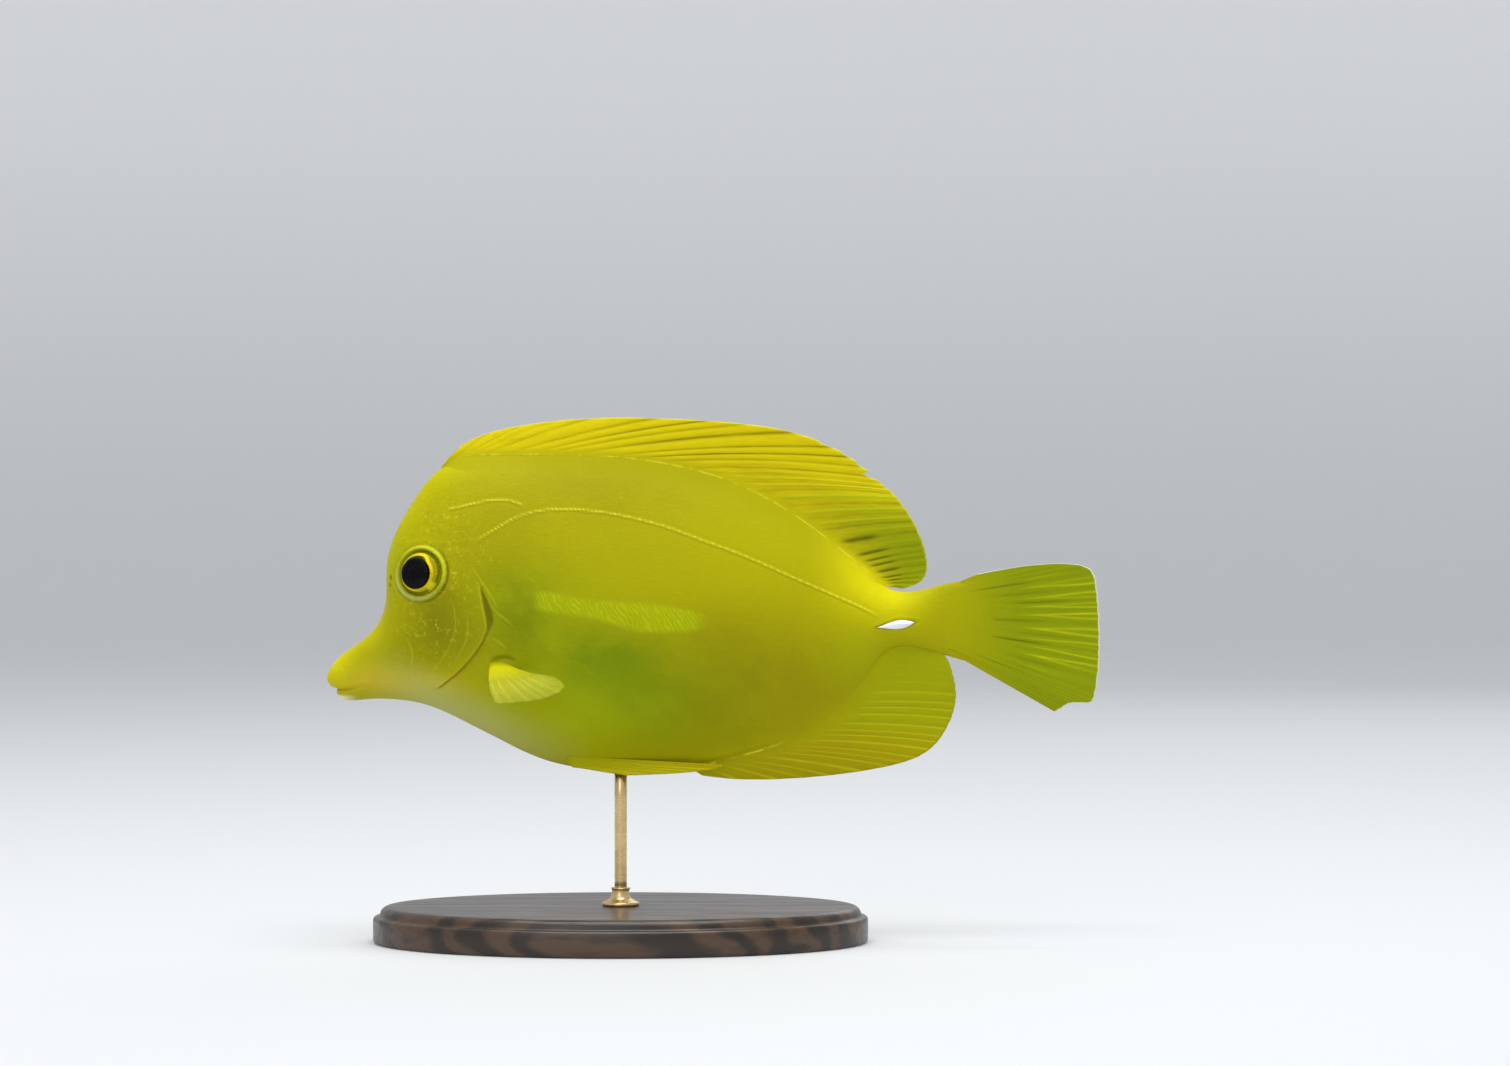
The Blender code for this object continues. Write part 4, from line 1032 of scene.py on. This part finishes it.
def make_fins(looks):
    """The seven fins."""
    midline = (("dorsal", DORSAL_RAYS), ("anal", ANAL_RAYS), ("tail", TAIL_RAYS))
    made = [
        make_fin(f"{kind}_fin", kind, [(a, 0.0, b, c, 0.0, d) for a, b, c, d in rays], looks[kind])
        for kind, rays in midline
    ]
    pectoral = [(*skin_place(x, z, -1)[0], *tip) for x, z, *tip in PECTORAL_RAYS]
    for side, word in SIDES:
        for kind, rays in (("pectoral", pectoral), ("pelvic", PELVIC_RAYS)):
            if side > 0:
                rays = [(a, -b, c, d, -e, f) for a, b, c, d, e, f in rays]
            made.append(make_fin(f"{kind}_fin_{word}", kind, rays, looks[kind], side))
    return made


def lens(name, centre, axis, radius, depth_out, depth_in, look, shaped=None, segments=96, levels=40):
    """A round lens with its own relief: shaped takes points and gives heights and marks."""
    axis = axis / np.linalg.norm(axis)
    up = np.array([0.0, 0.0, 1.0]) - axis[2] * axis
    up /= np.linalg.norm(up)
    along = np.cross(up, axis)
    turn = np.linspace(0, 2 * math.pi, segments, endpoint=False)
    lift = np.linspace(0, math.pi, 2 * levels + 1)[1:-1]
    height = np.cos(lift) * np.where(lift < math.pi / 2, depth_out, depth_in)
    spoke = np.cos(turn)[:, None] * along + np.sin(turn)[:, None] * up
    rows = centre + spoke[None] * (radius * np.sin(lift))[:, None, None] + axis * height[:, None, None]
    points = np.vstack([[centre + axis * depth_out], rows.reshape(-1, 3), [centre - axis * depth_in]])
    values = {}
    if shaped:
        heights, values = shaped(points)
        points = points + axis * heights[:, None]
    rings = len(lift)
    faces = [tuple(1 + i for i in f) for f in tube_faces(rings, segments)]
    last = len(points) - 1
    for s in range(segments):
        nxt = (s + 1) % segments
        faces.append((0, 1 + s, 1 + nxt))
        faces.append((last, last - segments + nxt, last - segments + s))
    return mesh_object(name, placed(points), faces, look, values)


def make_eyes(looks):
    """Eyeballs with a ringed iris, and glossy black pupils."""
    made = []
    for side, word in SIDES:
        hit, out, gaze = eye_frame(side)
        centre = hit - out * EYE_SUNK
        front = centre + gaze * (EYE_DEPTH - 0.05)

        def iris(points):
            """Height of the iris's relief, and numbers for its material."""
            r = from_axis(points, front, gaze)
            rim = from_axis(points, centre, out)
            facing = rise((points - centre) @ out, 0.0, 0.8)
            height = 0.12 * hill(r - PUPIL_RADIUS - 0.18, 0.2) - 0.5 * fall(r, 2.4, 2.9)
            height -= 0.12 * hill(rim - 4.0, 0.25)
            rel = points - front
            turn = np.arctan2(rel[:, 2], -rel[:, 0])
            return height * facing, {"from_pupil": r, "from_eye": rim, "turn": turn}

        ball = lens(f"eyeball_{word}", centre, out, EYE_RADIUS, EYE_DEPTH, EYE_DEPTH, looks["iris"], iris)
        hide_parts(f"eye_{word}")
        pupil = lens(f"lens_{word}", front, gaze, PUPIL_RADIUS, 0.3, 0.6, looks["pupil"], None, 72, 16)
        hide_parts(f"pupil_{word}")
        made += [ball, pupil]
    return made


def make_spines(look):
    """The white spine that lies folded in a groove on each side of the tail stalk."""
    tip, hinge = np.array(SPINE_TIP), np.array(SPINE_HINGE)
    along = hinge - tip
    across = np.array([-along[1], along[0]]) / np.linalg.norm(along)
    share = np.linspace(0.002, 0.998, 60)
    turn = np.linspace(0, 2 * math.pi, 32, endpoint=False)
    swell = np.cos(turn)[:, None]
    keel = np.sign(np.sin(turn)) * np.abs(np.sin(turn)) ** 1.25
    made = []
    for side, word in SIDES:
        rings = []
        for t in share:
            half = max(SPINE_HALF_DEPTH * math.sin(math.pi * t**1.35) ** 0.85, 0.05)
            x, z = tip + along * t
            middle = abs(skin_place(x, z, side)[0][1]) - 0.05
            bulge = 0.12 + 0.38 * math.sin(math.pi * t**1.2)
            spot = np.array([x, z]) + across * half * swell
            depth = middle + (SPINE_STANDS_PROUD + bulge) * keel
            rings.append(np.column_stack([spot[:, 0], side * depth, spot[:, 1]]))
        spine = mesh_object(f"white_spine_{word}", placed(rings), closed_tube(len(share), len(turn)), look)
        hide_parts(f"tail_spine_{word}")
        made.append(spine)
    return made


def turned(name, profile, look, segments):
    """A round or oval piece on the rod's axis, from its half length, half width and height at each level."""
    points = (oval_rings(profile, segments) + (SNOUT_X + ROD_X, 0, 0)) * MM
    return mesh_object(name, points, closed_tube(len(profile), segments), look)


def quarter_round(start, end, count, steep=False):
    """Points of a quarter round after its start, which it leaves level, or steeply."""
    turn = np.linspace(0.1, math.pi / 2, count)
    shares = (1 - np.cos(turn), np.sin(turn)) if steep else (np.sin(turn), 1 - np.cos(turn))
    start, end = np.array(start), np.array(end)
    return (start + np.column_stack(shares) * (end - start)).tolist()


def make_stand(looks):
    """A moulded oval base of dark wood, with a brass collar and rod."""
    long, wide, top = BASE_LENGTH / 2, BASE_WIDTH / 2, BASE_THICKNESS
    edge = (*BASE_EDGE, *quarter_round(*BASE_ROUND, 9, steep=True), (BASE_TOP_INSET, top))
    profile = [(long - inset, wide - inset, height) for inset, height in edge]
    profile += [(long / 2, wide / 2, top), (6.0, 6.0, top)]
    bead = (*COLLAR_FOOT, *quarter_round(*COLLAR_BELL, 9), *COLLAR_TOP)
    collar = [(r, r, top + height) for r, height in bead]
    rod = [(ROD_RADIUS, ROD_RADIUS, height) for height in ROD_LEVELS]
    made = [
        turned("walnut_base", profile, looks["wood"], 240),
        turned("brass_collar", collar, looks["brass"], 96),
        turned("brass_rod", rod, looks["brass"], 48),
    ]
    for piece, node in zip(made, ("stand_base", "stand_collar", "stand_rod")):
        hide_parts(node)
    return made


class Look:
    """A procedural material and short ways to add nodes to it."""

    def __init__(self, name, roughness=0.5, specular=0.5, metallic=0.0):
        self.material = bpy.data.materials.new(name)
        self.material.use_nodes = True
        self.tree = self.material.node_tree
        self.shader = self.tree.nodes["Principled BSDF"]
        self.use("Roughness", roughness)
        self.use("Specular IOR Level", specular)
        self.use("Metallic", metallic)
        self.place = self.node("TexCoord")["Object"]

    def join(self, value, socket):
        """Links a socket or sets a number or colour."""
        if isinstance(value, bpy.types.NodeSocket):
            self.tree.links.new(value, socket)
        elif isinstance(value, tuple) and len(value) == 3 and socket.type == "RGBA":
            socket.default_value = (*value, 1.0)
        else:
            socket.default_value = value

    def use(self, socket, value):
        """Sets or links an input of the surface shader."""
        self.join(value, self.shader.inputs[socket])

    def node(self, kind, inputs=None, **settings):
        """Adds a node with its settings and inputs, and gives its outputs."""
        node = self.tree.nodes.new(f"ShaderNode{kind}")
        for key, value in settings.items():
            setattr(node, key, value)
        for socket, value in (inputs or {}).items():
            self.join(value, node.inputs[socket])
        return node.outputs

    def read(self, name):
        """A number that the mesh carries."""
        return self.node("Attribute", attribute_name=name)["Fac"]

    def math(self, operation, a, b=0.0, clamp=False):
        return self.node("Math", {0: a, 1: b}, operation=operation, use_clamp=clamp)[0]

    def times(self, a, b):
        return self.math("MULTIPLY", a, b)

    def rest(self, value):
        """One less the value."""
        return self.math("SUBTRACT", 1.0, value)

    def rescale(self, value, from_low, from_high, to_low=0.0, to_high=1.0):
        """Moves a number smoothly from one range to another."""
        ends = (value, from_low, from_high, to_low, to_high)
        return self.node("MapRange", dict(enumerate(ends)), interpolation_type="SMOOTHSTEP")[0]

    def near(self, value, middle, inner, outer):
        """One within inner of the middle, and nothing beyond outer."""
        off = self.math("ABSOLUTE", self.math("SUBTRACT", value, middle))
        return self.rest(self.rescale(off, inner, outer))

    def vector(self, x, y, z=0.0):
        return self.node("CombineXYZ", {0: x, 1: y, 2: z})[0]

    def stretched(self, x, y, z, vector=None):
        """The place, or a vector, scaled along each axis."""
        return self.node("VectorMath", {0: vector or self.place, 1: (x, y, z)}, operation="MULTIPLY")[0]

    def tilted(self, angle):
        """The place turned by an angle in the side view."""
        given = {"Vector": self.place, "Angle": angle}
        return self.node("VectorRotate", given, rotation_type="Y_AXIS")[0]

    def noise(self, scale, detail=2.0, roughness=0.5, vector=None, distortion=0.0):
        given = {"Vector": vector or self.place, "Scale": scale, "Detail": detail}
        given.update({"Roughness": roughness, "Distortion": distortion})
        return self.node("TexNoise", given)["Fac"]

    def cells(self, scale, vector):
        return self.node("TexVoronoi", {"Vector": vector, "Scale": scale})["Distance"]

    def waves(self, scale, distortion, detail, vector, direction="X"):
        given = {"Vector": vector, "Scale": scale, "Distortion": distortion, "Detail": detail}
        return self.node("TexWave", given, bands_direction=direction)["Fac"]

    def mix(self, share, base, tint):
        """Lays a tint over a base colour."""
        return self.node("Mix", {"Factor": share, 6: base, 7: tint}, data_type="RGBA")[2]

    def bump(self, height, distance, before=None):
        given = {"Distance": distance * MM, "Height": height}
        if before:
            given["Normal"] = before
        return self.node("Bump", given)[0]

    def glow_under(self, weight, radius, colour=(1.0, 0.55, 0.05)):
        """Light that scatters a little under the surface."""
        self.use("Subsurface Weight", weight)
        self.use("Subsurface Radius", colour)
        self.use("Subsurface Scale", radius * MM)


def flesh_colour(look):
    """The skin's own yellow with its brighter, browner, greener and darker patches."""
    uneven = look.rescale(look.noise(75, 4, 0.6), 0.3, 0.7, 0.75, 1.25)
    colour = YELLOW
    for name, tint in PATCH_COLOURS.items():
        strength = look.times(look.read(name), 0.87)
        colour = look.mix(look.math("MULTIPLY", strength, uneven, clamp=True), colour, tint)
    return colour


def pale_streaks(look, colour):
    """Faint slanting streaks over the green patches."""
    streaks = look.noise(60, 3, 0.55, look.stretched(1.0, 0.0, 2.4, look.tilted(-0.55)), distortion=0.5)
    streaks = look.times(look.rescale(streaks, 0.42, 0.62), look.read("green"))
    return look.mix(look.times(streaks, 0.22), colour, PALE)


def pale_band(look, colour, ripple):
    """The pale rippled band along the middle of the side."""
    cloudy = look.rescale(look.noise(150, 3, 0.6), 0.25, 0.5, 0.55, 1.0)
    band = look.times(look.read("band"), cloudy)
    band = look.times(band, look.rescale(ripple, 0.15, 0.85, 0.5, 1.0))
    return look.mix(band, colour, PALE)


def grained(look, colour, speckle):
    """Brown specks and pale flecks, strongest on the head."""
    grain = look.rescale(look.read("head"), 0, 1, 0.04, 0.42)
    colour = look.mix(look.times(look.rescale(speckle, 0.50, 0.72), grain), colour, PATCH_COLOURS["olive"])
    flecks = look.rescale(look.noise(1100, 3, 0.6, distortion=0.8), 0.56, 0.72)
    return look.mix(look.times(flecks, grain), colour, CANAL)


def tinted(look, colour, tints):
    """Lays tints over a colour where the mesh carries their marks."""
    for name, strength, tint in tints:
        colour = look.mix(look.times(look.read(name), strength), colour, tint)
    return colour


def skin_look():
    """Yellow skin: greener and paler patches, fine scales, wrinkles on the head."""
    look = Look("yellow skin", 0.5, 0.05)
    speckle = look.noise(900, 3, 0.6)
    ripple = look.waves(400, 16, 3, look.stretched(1.0, 0.0, 0.55, look.tilted(0.5)))
    colour = tinted(look, flesh_colour(look), (("lit", 0.9, PATCH_COLOURS["bright"]),))
    colour = tinted(look, pale_streaks(look, colour), MOUTH_TINTS)
    colour = tinted(look, pale_band(look, colour, ripple), LINE_TINTS)
    look.use("Base Color", tinted(look, grained(look, colour, speckle), DARK_TINTS))
    wrinkles = look.times(look.noise(700, 4, 0.65, distortion=0.9), look.read("head"))
    normal = look.bump(look.cells(1500, look.stretched(0.75, 1.0, 1.25)), 0.04)
    normal = look.bump(wrinkles, 0.22, normal)
    look.use("Normal", look.bump(look.times(ripple, look.read("band")), 0.07, normal))
    look.use("Roughness", look.rescale(speckle, 0.3, 0.7, 0.40, 0.54))
    look.glow_under(0.10, 1.0)
    return look.material


def fin_look(kind, paint):
    """Yellow fin membrane: lit folds, painted shade in the valleys, bright lines and dashes, and a paler
    margin.
    """
    clear = kind == "pectoral"
    look = Look(f"{'clear' if clear else 'yellow'} {kind} fin", 0.5, 0.05)
    along = look.vector(look.read("ray"), look.times(look.read("reach"), 1.6))
    streak = look.noise(2.3, 4, 0.6, along)
    fine = look.noise(11.0, 3, 0.6, along)
    uneven = look.rescale(streak, 0.3, 0.6, 0.55, 1.0)
    base = look.mix(look.read("tone"), paint.crest, paint.rear)
    base = look.mix(look.times(look.rescale(streak, 0.5, 0.75), 0.25), base, paint.valley)
    base = look.mix(look.times(look.rescale(fine, 0.5, 0.8), 0.22), base, paint.valley)
    # Painted shade in the valleys between the rays, where the dark marks are.
    base = look.mix(look.times(look.read("dark"), uneven), base, paint.valley)
    base = look.mix(look.times(look.read("line"), uneven), base, paint.line)
    if paint.dash:
        base = look.mix(look.times(look.read("dash"), 0.85), base, paint.dash)
    fleshy = look.rest(look.rescale(look.read("away"), -0.3, paint.root_width))
    base = look.mix(fleshy, base, TAIL_ROOT if kind == "tail" else flesh_colour(look))
    seam = look.near(look.read("away"), 0.4, 0.05, 0.25)
    seam = look.times(seam, look.rescale(look.noise(420, 3, 0.6), 0.42, 0.58))
    base = look.mix(look.times(seam, look.read("seam")), base, CANAL)
    outer = look.rest(look.rescale(look.read("margin"), 0.10, 0.34))
    base = look.mix(look.times(outer, paint.edge_strength), base, paint.edge)
    look.use("Base Color", base)
    look.use("Normal", look.bump(fine, 0.06))
    look.use("Roughness", look.rescale(fine, 0.3, 0.7, 0.40, 0.54))
    if clear:
        look.use("Alpha", glassy(look))
    return look.material


def glassy(look):
    """How solid the pectoral fins are: least between the rays, and towards the tip."""
    rays = look.rescale(look.read("line"), 0.0, 0.7, 0.38, 0.52)
    root = look.rescale(look.read("reach"), 0.10, 0.70, 0.95, 0.0)
    tip = look.rescale(look.read("reach"), 0.55, 1.0, 1.0, 0.45)
    return look.times(look.math("MAXIMUM", rays, root), tip)


def iris_look():
    """A yellow-green iris with spokes and painted shade in its groove, a golden ring and a dark notch above
    the pupil.
    """
    look = Look("golden iris", 0.35, 0.04)
    r, rim, turn = look.read("from_pupil"), look.read("from_eye"), look.read("turn")

    def towards(angle, low, high):
        """One on the side of the pupil at an angle."""
        return look.rescale(look.math("COSINE", look.math("SUBTRACT", turn, angle)), low, high)

    spokes = look.noise(5.0, 4, 0.65, look.vector(look.times(turn, 2.2), look.times(rim, 2.4)))
    base = look.mix(look.rescale(spokes, 0.38, 0.62), IRIS_DARK, IRIS_LIGHT)
    lower = look.rescale(look.math("SINE", turn), -0.9, 0.1, 1.0, 0.0)
    base = look.mix(look.times(lower, 0.45), base, IRIS_GREEN)
    above = towards(1.5, 0.50, 0.92)
    from_ring = look.math("SUBTRACT", r, look.math("ADD", look.times(above, 0.62), 3.14))
    dimmer = look.math("ABSOLUTE", look.math("SINE", look.math("ADD", turn, 0.75)))
    gold = look.times(look.near(from_ring, 0.0, 0.12, 0.42), look.rescale(dimmer, 0.3, 1.0, 1.0, 0.45))
    base = look.mix(gold, base, IRIS_GOLD)
    # Painted shade in the groove round the edge of the eyeball.
    base = look.mix(look.times(look.near(rim, 3.95, 0.05, 0.25), 0.6), base, IRIS_GROOVE_SHADE)
    notch = look.times(above, look.rescale(from_ring, -0.40, -0.15, 1.0, 0.0))
    base = look.mix(look.times(notch, 0.92), base, IRIS_NOTCH)
    patch = look.times(towards(-2.50, 0.955, 0.998), look.near(r, 3.65, 0.25, 0.75))
    base = look.mix(look.times(patch, 0.8), base, IRIS_PATCH)
    base = look.mix(look.rest(look.rescale(r, 2.88, 3.0)), base, IRIS_WELL)
    look.use("Base Color", base)
    look.use("Normal", look.bump(spokes, 0.06))
    return look.material


def pupil_look():
    """Glossy black, a little bluish in faint clouds."""
    look = Look("black pupil", 0.10, 0.10)
    cloud = look.rescale(look.noise(900, 2), 0.4, 0.7)
    look.use("Base Color", look.mix(cloud, (0.002, 0.002, 0.002), (0.005, 0.005, 0.006)))
    return look.material


def spine_look():
    """White enamel with faint growth lines."""
    look = Look("white spine", 0.28, 0.5)
    lines = look.noise(900, 3, 0.6, look.stretched(0.3, 1.0, 2.5))
    look.use("Base Color", look.mix(look.rescale(lines, 0.35, 0.7), (0.92, 0.93, 0.93), (0.74, 0.77, 0.80)))
    look.use("Normal", look.bump(lines, 0.03))
    look.glow_under(0.2, 0.6, (1.0, 0.9, 0.8))
    return look.material


def wood_look():
    """Dark walnut: long grain, pores and a satin lacquer."""
    look = Look("dark walnut", 0.38, 0.4)
    drift = look.noise(14, 3, 0.5, look.stretched(1.0, 3.0, 3.0))
    warp = look.vector(look.times(drift, 0.03), look.times(drift, 0.045), look.times(drift, 0.03))
    shifted = look.node("VectorMath", {0: look.place, 1: warp}, operation="ADD")[0]
    rings = look.waves(45, 2.5, 3, look.stretched(0.12, 1.0, 1.0, shifted), "Y")
    fibres = look.noise(700, 4, 0.65, look.stretched(0.05, 1.0, 1.0))
    colour = look.mix(look.rescale(rings, 0.1, 0.9), (0.020, 0.011, 0.006), (0.075, 0.040, 0.020))
    colour = look.mix(look.times(look.rescale(fibres, 0.45, 0.75), 0.55), colour, (0.012, 0.007, 0.004))
    look.use("Base Color", colour)
    pores = look.rescale(look.noise(1500, 3, 0.6, look.stretched(0.06, 1.0, 1.0)), 0.6, 0.75)
    look.use("Normal", look.bump(look.rest(pores), 0.06))
    look.use("Roughness", look.rescale(fibres, 0.3, 0.7, 0.30, 0.46))
    look.use("Coat Weight", 0.25)
    look.use("Coat Roughness", 0.18)
    return look.material


def brass_look():
    """Brushed brass."""
    look = Look("brushed brass", 0.28, 0.5, 1.0)
    brushing = look.noise(2200, 3, 0.6, look.stretched(0.15, 0.15, 1.0))
    tarnish = look.rescale(look.noise(160, 3, 0.6), 0.35, 0.75)
    look.use("Base Color", look.mix(tarnish, (0.72, 0.55, 0.27), (0.56, 0.40, 0.18)))
    look.use("Roughness", look.rescale(brushing, 0.3, 0.7, 0.22, 0.38))
    look.use("Normal", look.bump(brushing, 0.015))
    return look.material


def floor_look():
    """A pale matt studio floor, a little lighter where it rises."""
    look = Look("studio floor", 0.8, 0.2)
    wall = look.rescale(look.node("SeparateXYZ", {0: look.place})["Z"], 0.0, 0.6)
    tone = look.mix(wall, (0.58, 0.59, 0.60), (0.88, 0.885, 0.89))
    look.use("Base Color", look.mix(look.times(look.noise(3, 2), 0.05), tone, (0.5, 0.5, 0.5)))
    look.use("Emission Color", SOFT_WHITE)
    look.use("Emission Strength", 0.10)
    return look.material


def make_floor():
    """A pale floor that bends up to a round wall far off."""
    bend = WALL_RADIUS - FLOOR_RADIUS
    curve = [(0.02, 0.0), (1.0, 0.0), (FLOOR_RADIUS, 0.0)]
    curve += quarter_round((FLOOR_RADIUS, 0.0), (WALL_RADIUS, bend), 12)
    curve += [(WALL_RADIUS, WALL_HEIGHT)]
    points = oval_rings([(r, r, height) for r, height in curve], FLOOR_SEGMENTS)
    faces = tube_faces(len(curve), FLOOR_SEGMENTS) + [tuple(range(FLOOR_SEGMENTS))]
    mesh_object("floor", points, faces, floor_look())


def stand_in_scene(name, data, place):
    """Puts a light or camera in the scene."""
    holder = bpy.data.objects.new(name, data)
    holder.location = place
    bpy.context.scene.collection.objects.link(holder)
    return holder


def make_studio():
    """The floor, a pale sky, soft lights and the camera."""
    make_floor()
    scene = bpy.context.scene
    scene.world = bpy.data.worlds.new("studio")
    scene.world.use_nodes = True
    sky = scene.world.node_tree.nodes["Background"]
    sky.inputs["Color"].default_value = (*SOFT_WHITE, 1.0)
    sky.inputs["Strength"].default_value = SKY_STRENGTH
    for name, (place, target, size, power) in LIGHTS.items():
        light = bpy.data.lights.new(name, "AREA")
        light.size = size
        light.energy = power
        holder = stand_in_scene(name, light, place)
        holder.rotation_euler = (Vector(target) - Vector(place)).to_track_quat("-Z", "Y").to_euler()
    camera = bpy.data.cameras.new("camera")
    camera.sensor_width = SENSOR_WIDTH
    camera.lens = SENSOR_WIDTH * CAMERA_DISTANCE / FRAME_WIDTH
    scene.camera = stand_in_scene("camera", camera, (CAMERA_X * MM, -CAMERA_DISTANCE * MM, CAMERA_Z * MM))
    scene.camera.rotation_euler = (math.pi / 2, 0, 0)
    scene.view_settings.view_transform = "Standard"


SURFACE = skin_surface()


def main():
    """Builds every piece and hangs it on the model's body."""
    pieces = [make_skin(skin_look())]
    pieces += make_fins({kind: fin_look(kind, paint) for kind, paint in FIN_PAINT.items()})
    pieces += make_eyes({"iris": iris_look(), "pupil": pupil_look()})
    pieces += make_spines(spine_look())
    pieces += make_stand({"wood": wood_look(), "brass": brass_look()})
    for piece in pieces:
        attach(piece, "root")


main()
make_studio()
